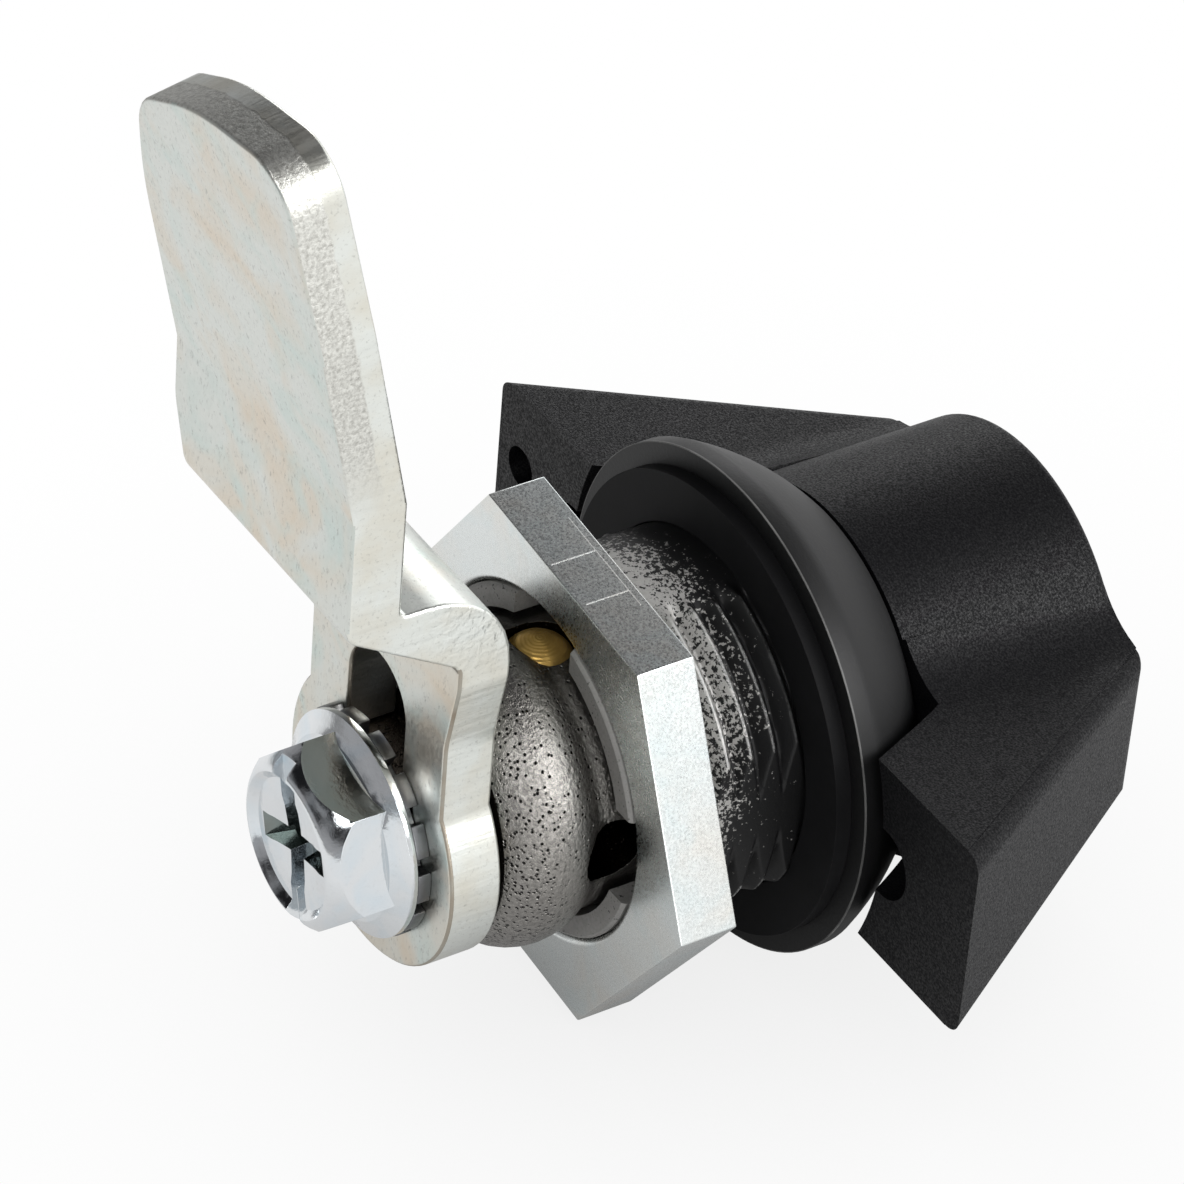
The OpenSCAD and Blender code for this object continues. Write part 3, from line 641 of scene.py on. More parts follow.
@dataclass(frozen=True)
class CastZinc:
    """Bare zinc casting: grey metal with a rough skin and black pits, thickest towards the cam and below."""

    name: str = "cast_zinc"
    base: str = "#aeaba6"
    shade: str = "#504e4c"
    pit: str = "#121110"
    pit_mm: float = 0.24
    pit_edge: Span = (0.2, 0.45)
    skin_mm: float = 0.26
    patch_mm: float = 3.0
    patch_sway: float = 0.5
    crowd_from_mm: float = 13.0
    crowd_to_mm: float = 18.5
    crowd_lean: float = -0.28
    crowd_level: Span = (-0.08, 0.6)
    rough: float = 0.27
    relief_mm: float = 0.09
    relief_strength: float = 0.9

    def material(self) -> bpy.types.Material:
        """Builds the material."""
        made, tree, place = new_material(self.name)
        cells = add_node(tree, "ShaderNodeTexVoronoi", {"Vector": place, "Scale": per_mm(self.pit_mm)})
        chance = add_node(tree, "ShaderNodeSeparateColor", {0: cells.outputs["Color"]})
        skin = add_node(tree, "ShaderNodeTexNoise", {
            "Vector": place, "Scale": per_mm(self.skin_mm), "Detail": 4.0, "Roughness": 0.65})
        patch = add_node(tree, "ShaderNodeTexNoise", {
            "Vector": place, "Scale": per_mm(self.patch_mm), "Detail": 2.0})
        crowd = add_node(tree, "ShaderNodeVectorMath", {
            0: place, 1: (0.0, 1.0, self.crowd_lean)}, operation="DOT_PRODUCT")
        level = add_node(tree, "ShaderNodeMapRange", {
            "Value": crowd.outputs["Value"],
            "From Min": self.crowd_from_mm * MM, "From Max": self.crowd_to_mm * MM,
            "To Min": self.crowd_level[0], "To Max": self.crowd_level[1]})
        drift = add_node(tree, "ShaderNodeMath", {
            0: patch.outputs[0], 1: self.patch_sway, 2: level.outputs[0]}, operation="MULTIPLY_ADD")
        pitted = add_node(tree, "ShaderNodeMath", {
            0: drift.outputs[0], 1: chance.outputs[0]}, operation="GREATER_THAN")
        round_off = add_node(tree, "ShaderNodeMapRange", {
            "Value": cells.outputs["Distance"], "From Min": self.pit_edge[0], "From Max": self.pit_edge[1],
            "To Min": 1.0, "To Max": 0.0})
        hole = add_node(tree, "ShaderNodeMath", {
            0: pitted.outputs[0], 1: round_off.outputs[0]}, operation="MULTIPLY")
        metal = add_node(tree, "ShaderNodeMix", {
            "Factor": skin.outputs[0], MIX_A: linear(self.shade), MIX_B: linear(self.base)}, data_type="RGBA")
        colour = add_node(tree, "ShaderNodeMix", {
            "Factor": hole.outputs[0], MIX_A: metal.outputs[MIXED], MIX_B: linear(self.pit)},
            data_type="RGBA")
        sunk = add_node(tree, "ShaderNodeMath", {
            0: skin.outputs[0], 1: hole.outputs[0]}, operation="SUBTRACT")
        bump = add_node(tree, "ShaderNodeBump", {
            "Height": sunk.outputs[0], "Strength": self.relief_strength, "Distance": self.relief_mm * MM})
        close_material(tree, {
            "Base Color": colour.outputs[MIXED], "Metallic": 1.0, "Roughness": self.rough,
            "Normal": bump.outputs[0]})
        return made


@dataclass(frozen=True)
class TurnedBrass:
    """Brass turned on a lathe: warm metal with fine rings round its own axis.

    The real rings are finer. They are drawn coarser so that they show.
    """

    name: str = "turned_brass"
    base: str = "#f4cd78"
    dark: str = "#b58a3c"
    cloud_mm: float = 0.9
    ring_mm: float = 0.2
    ring_depth_mm: float = 0.022
    ring_strength: float = 0.55
    axis_y_mm: float = 11.2
    metal_share: float = 0.75
    rough: float = 0.33

    def material(self) -> bpy.types.Material:
        """Builds the material."""
        made, tree, place = new_material(self.name)
        centred = add_node(tree, "ShaderNodeMapping", {
            "Vector": place, "Location": (0.0, -self.axis_y_mm * MM, 0.0)})
        rings = add_node(tree, "ShaderNodeTexWave", {
            "Vector": centred.outputs[0], "Scale": per_mm(self.ring_mm) * math.tau / WAVE_RATE,
            "Distortion": 1.5, "Detail": 2.0}, wave_type="RINGS", rings_direction="Z")
        cloud = add_node(tree, "ShaderNodeTexNoise", {
            "Vector": place, "Scale": per_mm(self.cloud_mm), "Detail": 3.0})
        colour = add_node(tree, "ShaderNodeMix", {
            "Factor": cloud.outputs[0], MIX_A: linear(self.dark), MIX_B: linear(self.base)}, data_type="RGBA")
        bump = add_node(tree, "ShaderNodeBump", {
            "Height": rings.outputs[1], "Strength": self.ring_strength, "Distance": self.ring_depth_mm * MM})
        close_material(tree, {
            "Base Color": colour.outputs[MIXED], "Metallic": self.metal_share, "Roughness": self.rough,
            "Normal": bump.outputs[0]})
        return made


def node_copy(node: str) -> bmesh.types.BMesh:
    """Copies a CAD node's mesh, merges it and joins its flat faces.

    Args:
        node: Name of the CAD node.

    Returns:
        The copy, in metres, in the shared frame.
    """
    made = bmesh.new()
    made.from_mesh(bpy.data.objects[node].data)
    bmesh.ops.remove_doubles(made, verts=made.verts, dist=TOUCH_MM * MM)
    bmesh.ops.dissolve_limit(
        made, angle_limit=math.radians(FLAT_ANGLE), verts=made.verts, edges=made.edges, delimit=set())
    return made


def soften(
    mesh: bmesh.types.BMesh, width_mm: float, segments: int = 2, angle: float = 30, merge_mm: float = 0.0,
) -> None:
    """Rounds the sharp edges of a mesh.

    Args:
        mesh: Mesh in metres.
        width_mm: Width of the rounding.
        segments: Faces across the rounding.
        angle: Edges sharper than this many degrees are rounded.
        merge_mm: Edges shorter than this are closed first, so that they do not hold the rounding back.
    """
    if merge_mm:
        bmesh.ops.remove_doubles(mesh, verts=mesh.verts, dist=merge_mm * MM)
    sharp = [e for e in mesh.edges if e.is_manifold and e.calc_face_angle() > math.radians(angle)]
    bmesh.ops.bevel(
        mesh, geom=sharp, offset=width_mm * MM, offset_type="OFFSET", segments=segments, profile=0.5,
        affect="EDGES", clamp_overlap=not merge_mm, material=-1)


def slice_flat(mesh: bmesh.types.BMesh, at_mm: Vector, way: Vector, drop: bool = False) -> None:
    """Cuts a mesh along a plane.

    Args:
        mesh: Mesh in metres.
        at_mm: Point on the plane.
        way: Direction that the plane faces.
        drop: Whether what lies in front of the plane goes, and the cut is closed.
    """
    bmesh.ops.bisect_plane(
        mesh, geom=[*mesh.verts, *mesh.edges, *mesh.faces], dist=CUT_MM * MM, plane_co=at_mm * MM,
        plane_no=way, clear_outer=drop)
    if drop:
        bmesh.ops.holes_fill(mesh, edges=[e for e in mesh.edges if e.is_boundary], sides=0)


def out_from_axis(vert: bmesh.types.BMVert) -> float:
    """Gives a vertex's distance from the lock's axis, in its mesh's own units."""
    return math.hypot(vert.co.x, vert.co.z)


def scale_out(vert: bmesh.types.BMVert, factor: float) -> None:
    """Moves a vertex straight out from the lock's axis, or in, by a factor."""
    vert.co.x *= factor
    vert.co.z *= factor


def carved(mesh: bmesh.types.BMesh, tool: bmesh.types.BMesh, how: Carve) -> bmesh.types.BMesh:
    """Cuts one closed mesh by another.

    Args:
        mesh: Mesh in millimetres, which is freed.
        tool: Second mesh in millimetres, which is freed.
        how: What the tool does.

    Returns:
        The result in millimetres.
    """
    pair = []
    for label, source in (("carved", mesh), ("tool", tool)):
        data = bpy.data.meshes.new(label)
        source.to_mesh(data)
        source.free()
        pair.append(bpy.data.objects.new(label, data))
        bpy.context.scene.collection.objects.link(pair[-1])
    step = pair[0].modifiers.new("carve", "BOOLEAN")
    step.operation = how.value
    step.object = pair[1]
    step.solver = "EXACT"
    done = bmesh.new()
    done.from_object(pair[0], bpy.context.evaluated_depsgraph_get())
    for piece in pair:
        data = piece.data
        bpy.data.objects.remove(piece)
        bpy.data.meshes.remove(data)
    return done


def turned(profile: list[Span], steps: int = 96) -> bmesh.types.BMesh:
    """Turns a profile round the lock's axis.

    Args:
        profile: Radius and place along Y in millimetres, from axis to axis or back to the first point.
        steps: Faces round the axis.

    Returns:
        The closed mesh in millimetres.
    """
    made = bmesh.new()
    line = [made.verts.new((r, y, 0)) for r, y in profile]
    edges = [made.edges.new(pair) for pair in zip(line, line[1:])]
    bmesh.ops.spin(
        made, geom=[*line, *edges], cent=(0, 0, 0), axis=(0, 1, 0), angle=math.tau, steps=steps,
        use_merge=True, use_duplicate=False)
    bmesh.ops.remove_doubles(made, verts=made.verts, dist=TOUCH_MM)
    bmesh.ops.recalc_face_normals(made, faces=made.faces)
    return made


def add_piece(
    mesh: bmesh.types.BMesh, name: str, body: Body, stands_for: tuple[str, ...],
    finishes: list[bpy.types.Material], smooth_angle: float = 32,
    stretch: tuple[Body, Vector, Vector] | None = None,
) -> bpy.types.Object:
    """Makes an object of a mesh and, unless stretch is given, ties it to its body.

    Args:
        mesh: Finished mesh, which is freed.
        name: Name of the piece.
        body: Body that it rides on.
        stands_for: CAD nodes that it replaces.
        finishes: Materials, in the order of the faces' material numbers.
        smooth_angle: Edges sharper than this many degrees stay sharp.
        stretch: If given, the piece is tied to no body and its place is baked into its mesh; the second body
            and the points in it are not used, and nothing stretches.

    Returns:
        The new object.
    """
    data = bpy.data.meshes.new(name)
    mesh.to_mesh(data)
    mesh.free()
    for finish in finishes:
        data.materials.append(finish)
    data.shade_smooth()
    data.set_sharp_from_angle(angle=math.radians(smooth_angle))
    made = bpy.data.objects.new(name, data)
    bpy.context.scene.collection.objects.link(made)
    flat = made.modifiers.new("flat_faces", "WEIGHTED_NORMAL")
    flat.keep_sharp = True
    if stretch:
        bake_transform(made)
    else:
        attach(made, body.value)
    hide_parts(*stands_for)
    log.info("%s: %d faces on %s", name, len(data.polygons), body.value)
    return made


@dataclass
class Knob:
    """The two-wing knob and the cap in its front."""

    edge_mm: float = 0.22
    smooth_angle: float = 46.0
    cap_edge_mm: float = 0.12
    skin: MouldedNylon = field(default_factory=MouldedNylon)

    def build(self) -> None:
        """Builds the knob and its cap."""
        skin = self.skin.material()
        mesh = node_copy("wing_knob")
        soften(mesh, self.edge_mm, angle=self.smooth_angle)
        add_piece(mesh, "knob_moulding", Body.KNOB, ("wing_knob",), [skin],
                  smooth_angle=self.smooth_angle)
        cap = node_copy("knob_cap")
        soften(cap, self.cap_edge_mm)
        add_piece(cap, "knob_front_cap", Body.KNOB, ("knob_cap",), [skin])


@dataclass
class Barrel:
    """The housing with its rosette and thread, the gasket, the seal and the nut."""

    casting_edge_mm: float = 0.15
    thread_r_mm: float = 11.0
    thread_depth_mm: float = 0.92
    thread_flank: float = 2.5
    thread_crest: float = 0.12
    thread_mm: Span = (-0.6, 7.35)
    thread_smooth: float = 40.0
    pitch_mm: float = 1.5
    rows_per_turn: int = 20
    steps_round: int = 288
    core_r_mm: float = 9.6
    core_step_mm: float = 0.1
    sleeve_sink_mm: float = 0.3
    side_flat_mm: float = 10.0
    land_r_mm: float = 10.55
    land_ends: Span = (12.0, 130.0)
    land_run: float = 7.0
    gasket_hole_mm: float = 10.62
    gasket_reach_mm: float = 1.0
    gasket_edge_mm: float = 0.05
    flat_lean: float = 5.8
    flat_r_mm: float = 13.5
    nut_ends_mm: Span = (7.4, 11.0)
    nut_bore_mm: float = 10.375
    nut_sink_mm: float = 0.3
    nut_overrun_mm: float = 1.0
    nut_edge_mm: float = 0.1
    nut_sides: int = 6
    mark_rise_mm: float = 0.02
    marks_mm: tuple[tuple[float, float, float, float], ...] = (
        (1.5, 9.3, 0.07, 2.9), (-1.95, 9.3, 0.07, 2.7), (0.6, 7.92, 7.6, 0.06))
    coat: CoatedCasting = field(default_factory=CoatedCasting)
    rubber: MouldedRubber = field(default_factory=MouldedRubber)
    scribe: ZincPlate = field(default_factory=lambda: ZincPlate(
        "scribed_line", base="#f0f2f2", rough_low=0.5, rough_high=0.7))
    nut_plate: ZincPlate = field(default_factory=lambda: ZincPlate(
        "nut_zinc_plate", base="#dce0df", warm="#dcdbd6", cool="#d6dede", ripple_depth_mm=0.004,
        rough_low=0.22, rough_high=0.34, speck_mm=0.2))

    def build(self) -> None:
        """Builds the housing, the gasket, the seal and the nut."""
        coat = self.coat.material()
        rubber = self.rubber.material()
        self.build_casting(coat)
        self.build_thread(coat)
        ring = node_copy("flange_gasket")
        for v in ring.verts:
            out_mm = out_from_axis(v) / MM
            if out_mm < self.gasket_hole_mm + self.gasket_reach_mm:
                scale_out(v, self.gasket_hole_mm / out_mm)
        soften(ring, self.gasket_edge_mm)
        add_piece(ring, "gasket_ring", Body.HOUSING, ("flange_gasket",), [rubber])
        seal = node_copy("rotor_seal")
        add_piece(seal, "seal_ring", Body.KNOB, ("rotor_seal",), [rubber])
        self.build_marks()
        self.build_nut()

    def build_nut(self) -> None:
        """Builds the nut as a sharp-edged hexagon with a countersunk bore."""
        mesh = bmesh.new()
        half_side = 180 / self.nut_sides
        corner = math.radians(self.flat_lean + half_side)
        way = Vector((-math.sin(corner), 0, math.cos(corner)))
        axis = Vector((0, 1, 0))
        turn = Matrix((way.cross(axis), way, axis)).transposed().to_4x4()
        low, high = self.nut_ends_mm
        outer = self.flat_r_mm / math.cos(math.radians(half_side))
        bmesh.ops.create_cone(
            mesh, cap_ends=True, cap_tris=False, segments=self.nut_sides, radius1=outer, radius2=outer,
            depth=high - low, matrix=Matrix.Translation((0, (low + high) / 2, 0)) @ turn)
        sink = self.nut_sink_mm
        start = low - self.nut_overrun_mm
        bore = [(0, start), (self.nut_bore_mm, start), (self.nut_bore_mm, high - sink),
                (self.nut_bore_mm + 2 * sink, high + sink), (0, high + sink)]
        nut = carved(mesh, turned(bore), Carve.CUT_AWAY)
        bmesh.ops.scale(nut, vec=(MM,) * 3, verts=nut.verts)
        soften(nut, self.nut_edge_mm)
        add_piece(nut, "thin_nut", Body.HOUSING, ("hex_nut",), [self.nut_plate.material()])

    def build_marks(self) -> None:
        """Builds the scribed lines on the nut's upper flat."""
        mesh = bmesh.new()
        lean = math.radians(self.flat_lean)
        out = Vector((-math.sin(lean), 0, math.cos(lean)))
        along = Vector((math.cos(lean), 0, math.sin(lean)))
        turn = Matrix((along, (0, 1, 0), out)).transposed().to_4x4()
        for t, y, length, width in self.marks_mm:
            size = Matrix.Diagonal((length, width, self.mark_rise_mm, 1 / MM)) * MM
            place = Matrix.Translation((along * t + out * self.flat_r_mm + Vector((0, y, 0))) * MM)
            bmesh.ops.create_cube(mesh, size=1, matrix=place @ turn @ size)
        add_piece(mesh, "nut_scribe_marks", Body.HOUSING, (), [self.scribe.material()])

    def build_casting(self, coat: bpy.types.Material) -> None:
        """Builds the casting with its barrel turned down to the core of the thread.

        Args:
            coat: Material of the casting.
        """
        mesh = node_copy("housing")
        first, last = self.thread_mm
        step = self.core_step_mm
        for y in (first, first + step, last - step, last):
            slice_flat(mesh, Vector((0, y, 0)), Vector((0, 1, 0)))
        for v in mesh.verts:
            out_mm = out_from_axis(v) / MM
            if first + step / 2 < v.co.y / MM < last - step / 2 and out_mm > self.core_r_mm:
                scale_out(v, self.core_r_mm / out_mm)
        bmesh.ops.dissolve_degenerate(mesh, dist=2 * TOUCH_MM * MM, edges=mesh.edges)
        soften(mesh, self.casting_edge_mm)
        add_piece(mesh, "housing_casting", Body.HOUSING, ("housing",), [coat])

    def thread_radius(self, angle: float, y_mm: float) -> float:
        """Gives the distance of the thread's surface from the axis.

        Args:
            angle: Angle from +Z towards -X, in radians.
            y_mm: Place along the axis.

        Returns:
            The radius in millimetres, level on the two lands and cut by the two flats.
        """
        phase = (y_mm / self.pitch_mm + angle / math.tau) % 1
        ramp = min(1.0, max(0.0, abs(phase - 0.5) * self.thread_flank - self.thread_crest))
        ridge = self.thread_r_mm - self.thread_depth_mm * ramp
        turn = math.degrees(angle) % 180
        inside = min(turn - self.land_ends[0], self.land_ends[1] - turn)
        share = min(1.0, max(0.0, inside / self.land_run))
        radius = self.land_r_mm + (ridge - self.land_r_mm) * share
        side = max(abs(math.sin(angle)), self.side_flat_mm / self.thread_r_mm)
        return min(radius, self.side_flat_mm / side)

    def build_thread(self, coat: bpy.types.Material) -> None:
        """Builds the thread as a sleeve on the barrel's core: a plain tube, pushed in to the thread's form.

        Args:
            coat: Material of the casting.
        """
        first, last = self.thread_mm
        count = round((last - first) / self.pitch_mm * self.rows_per_turn)
        inner = self.core_r_mm - self.sleeve_sink_mm
        shell = [(self.thread_r_mm, first + (last - first) * i / count) for i in range(count + 1)]
        mesh = turned([(inner, first), *shell, (inner, last), (inner, first)], self.steps_round)
        for v in mesh.verts:
            out = out_from_axis(v)
            if out > self.core_r_mm:
                scale_out(v, self.thread_radius(math.atan2(-v.co.x, v.co.z), v.co.y) / out)
        bmesh.ops.scale(mesh, vec=(MM,) * 3, verts=mesh.verts)
        bmesh.ops.recalc_face_normals(mesh, faces=mesh.faces)
        add_piece(mesh, "barrel_thread", Body.HOUSING, (), [coat],
                  smooth_angle=self.thread_smooth)


@dataclass
class Rotor:
    """The cast drum with its brass plunger and spring."""

    drum_edge_mm: float = 0.2
    pin_edge_mm: float = 0.08
    pocket_r_mm: float = 7.9
    pocket_from_mm: float = 9.0
    seat_from_mm: float = 17.65
    cast: CastZinc = field(default_factory=CastZinc)
    # Painted shade: a dark zinc for the drum's deep pocket and the seat under the cam.
    pocket_shade: CastZinc = field(default_factory=lambda: CastZinc(
        "pocket_painted_shade", base="#3a332d", shade="#1d1916", crowd_to_mm=40.0))
    brass: TurnedBrass = field(default_factory=TurnedBrass)
    wire: ZincPlate = field(default_factory=lambda: ZincPlate("spring_wire", base="#8d8f93"))

    def build(self) -> None:
        """Builds the drum, the plunger and its spring."""
        drum = node_copy("rotor")
        soften(drum, self.drum_edge_mm)
        # Faces in the deep pocket and on the seat take the painted shade.
        for part in drum.faces:
            at = part.calc_center_median() / MM
            deep = math.hypot(at.x, at.z) < self.pocket_r_mm and at.y > self.pocket_from_mm
            part.material_index = 1 if deep or at.y > self.seat_from_mm else 0
        add_piece(drum, "rotor_casting", Body.KNOB, ("rotor",),
                  [self.cast.material(), self.pocket_shade.material()])
        pin = node_copy("detent_pin")
        soften(pin, self.pin_edge_mm)
        add_piece(pin, "brass_plunger", Body.PLUNGER, ("detent_pin",), [self.brass.material()])
        low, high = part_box("detent_spring")
        middle = (low + high) / 2
        foot, top = (Vector((middle.x, middle.y, end.z)) for end in (low, high))
        add_piece(node_copy("detent_spring"), "plunger_spring", Body.KNOB, ("detent_spring",),
                  [self.wire.material()], stretch=(Body.PLUNGER, foot, top))


@dataclass
class CamSet:
    """The cranked cam, its toothed washer and the two screws."""

    edge_mm: float = 0.22
    edge_merge_mm: float = 0.1
    edge_angle: float = 50.0
    edge_faces: int = 3
    cut_side_lean: float = 0.05
    cut_rim_lean: float = 0.1
    tip_mm: Span = (9.3, 17.4)
    tip_turn: Span = (12.9, 61.3)
    tip_round_mm: float = 5.0
    tip_cuts: int = 6
    rolled_y_mm: Span = (21.2, 21.6)
    rolled_below_mm: float = 16.0
    rolled_lean: Span = (0.2, 0.95)
    washer_r_mm: float = 6.6
    washer_edge_mm: float = 0.08
    screw_edge_mm: float = 0.12
    head_edge_angle: float = 26.0
    head_smooth: float = 40.0
    head_front_mm: float = 26.8
    head_dish_mm: tuple[Span, ...] = (
        (0.0, 26.1), (1.2, 26.12), (2.2, 26.2), (3.0, 26.34), (3.6, 26.52), (4.0, 26.72), (4.15, 26.9),
        (0.0, 26.9))
    head_dome_mm: tuple[Span, ...] = (
        (0.0, 14.0), (7.5, 14.0), (7.5, 23.0), (6.6, 23.4), (6.0, 24.6), (5.62, 25.3), (5.3, 25.8),
        (4.95, 26.25), (4.65, 26.55), (4.4, 26.72), (4.15, 26.79), (3.9, 26.8), (0.0, 26.8))
    recess_floor_mm: float = 24.9
    recess_reach_mm: float = 0.05
    recess_taper: float = 0.72
    recess_r_mm: float = 3.6
    recess_y_mm: Span = (24.0, 26.05)
    flange_from_mm: float = 6.2
    flange_to_mm: float = 22.8
    flange_r_mm: float = 6.55
    slot_turn: float = 15.0
    slot_size_mm: Triple = (1.4, 4.0, 2.4)
    slot_from_mm: float = 2.3
    face: ZincPlate = field(default_factory=lambda: ZincPlate(
        "cam_zinc_plate", base="#d2d5d0", warm="#d3c9b9", cool="#c6d1cc", speck="#6b6a65", rough_low=0.28,
        rough_high=0.4, cloud_mm=6.0, hairline_run=2.0, speck_mm=0.2, speck_share=0.5))
    edge: ShearedEdge = field(default_factory=ShearedEdge)
    rolled: ZincPlate = field(default_factory=lambda: ZincPlate(
        "rolled_edge", base="#a59e92", warm="#94897a", cool="#a9a89f", rough_low=0.35, rough_high=0.5))
    bright: ZincPlate = field(default_factory=lambda: ZincPlate(
        "screw_zinc_plate", base="#d9dcde", warm="#d6d8da", cool="#cfd8de", rough_low=0.07, rough_high=0.13,
        speck_share=0.08, ripple_mm=2.2, ripple_depth_mm=0.09))
    # Painted shade: a darker plate for the faces deep in the cross recess.
    recess: ZincPlate = field(default_factory=lambda: ZincPlate(
        "screw_recess_painted_shade", base="#7d8583", warm="#777771", cool="#6c7574", rough_low=0.1, rough_high=0.2))
    spring: ZincPlate = field(default_factory=lambda: ZincPlate(
        "washer_steel", base="#6f7072", warm="#6a665f", cool="#62656a", rough_low=0.3, rough_high=0.45))

    def build(self) -> None:
        """Builds the cam, the washer and the screws."""
        self.build_cam()
        bright = self.bright.material()
        washer = node_copy("lock_washer")
        for v in washer.verts:
            out_mm = out_from_axis(v) / MM
            if out_mm > self.washer_r_mm:
                scale_out(v, self.washer_r_mm / out_mm)
        soften(washer, self.washer_edge_mm)
        add_piece(washer, "toothed_washer", Body.KNOB, ("lock_washer",),
                  [self.spring.material()])
        self.build_screw(bright)
        inner = node_copy("knob_screw")
        soften(inner, self.screw_edge_mm)
        add_piece(inner, "knob_fixing_screw", Body.KNOB, ("knob_screw",), [bright])

    def build_cam(self) -> None:
        """Builds the cam with plated faces, sheared edges and a line along the rolled edge of its base."""
        mesh = node_copy("cam")
        self.round_tip(mesh)
        for part in mesh.faces:
            rim = part.calc_center_median().z < 0 and abs(part.normal.y) < self.cut_rim_lean
            part.material_index = 1 if rim or abs(part.normal.x) > self.cut_side_lean else 0
        soften(mesh, self.edge_mm, segments=self.edge_faces, angle=self.edge_angle,
               merge_mm=self.edge_merge_mm)
        mesh.normal_update()
        for part in mesh.faces:
            at = part.calc_center_median() / MM
            along = self.rolled_y_mm[0] < at.y < self.rolled_y_mm[1] and at.z < self.rolled_below_mm
            if along and self.rolled_lean[0] < part.normal.y < self.rolled_lean[1]:
                part.material_index = 2
        add_piece(mesh, "cranked_cam", Body.KNOB, ("cam",),
                  [self.face.material(), self.edge.material(), self.rolled.material()])

    def round_tip(self, mesh: bmesh.types.BMesh) -> None:
        """Rounds the lower corner of the blade's tip with a row of flat cuts.

        Args:
            mesh: The cam, in metres.
        """
        lean = math.radians(self.edge.lean)
        rise = Vector((0, math.sin(lean), math.cos(lean)))
        side = Vector((1, 0, 0))
        foot = Vector((0, *self.edge.bend_mm))
        first, last = (math.radians(x) for x in self.tip_turn)
        low, high = (side * math.cos(a) + rise * math.sin(a) for a in (first, last))
        corner = foot + side * self.tip_mm[0] + rise * self.tip_mm[1]
        centre = corner - (low + high) * self.tip_round_mm / (1 + low.dot(high))
        for k in range(self.tip_cuts):
            turn = first + (last - first) * (k + 0.5) / self.tip_cuts
            out = side * math.cos(turn) + rise * math.sin(turn)
            slice_flat(mesh, centre + out * self.tip_round_mm, out, drop=True)
        bmesh.ops.recalc_face_normals(mesh, faces=mesh.faces)

    def build_screw(self, bright: bpy.types.Material) -> None:
        """Builds the hex screw with a domed head and a tapered cross recess.

        Args:
            bright: Material of the screw.
        """
        mesh = node_copy("cam_screw")
        bmesh.ops.scale(mesh, vec=(1 / MM,) * 3, verts=mesh.verts)
        for v in mesh.verts:
            out = out_from_axis(v)
            if abs(v.co.y - self.recess_floor_mm) < self.recess_reach_mm:
                scale_out(v, self.recess_taper)
            elif v.co.y < self.flange_to_mm and out > self.flange_from_mm:
                scale_out(v, self.flange_r_mm / out)
        head = carved(mesh, turned(list(self.head_dome_mm)), Carve.KEEP_INSIDE)
        head = carved(head, turned(list(self.head_dish_mm)), Carve.CUT_AWAY)
        head = carved(head, self.slot_end(), Carve.CUT_AWAY)
        # Faces deep in the cross recess take the painted shade.
        for part in head.faces:
            at = part.calc_center_median()
            deep = self.recess_y_mm[0] < at.y < self.recess_y_mm[1]
            part.material_index = 1 if deep and math.hypot(at.x, at.z) < self.recess_r_mm else 0
        bmesh.ops.scale(head, vec=(MM,) * 3, verts=head.verts)
        soften(head, self.screw_edge_mm, segments=self.edge_faces, angle=self.head_edge_angle)
        add_piece(head, "hex_screw", Body.KNOB, ("cam_screw",),
                  [bright, self.recess.material()], smooth_angle=self.head_smooth)

    def slot_end(self) -> bmesh.types.BMesh:
        """Builds the tool that opens one end of the head's slot.

        Returns:
            The closed block in millimetres.
        """
        tool = bmesh.new()
        width, length, depth = self.slot_size_mm
        turn = Matrix.Rotation(math.radians(self.slot_turn), 4, "Y")
        place = Matrix.Translation((0, self.head_front_mm, -self.slot_from_mm - length / 2))
        size = Matrix.Diagonal((width, 2 * depth, length, 1))
        bmesh.ops.create_cube(tool, size=1, matrix=turn @ place @ size)
        return tool


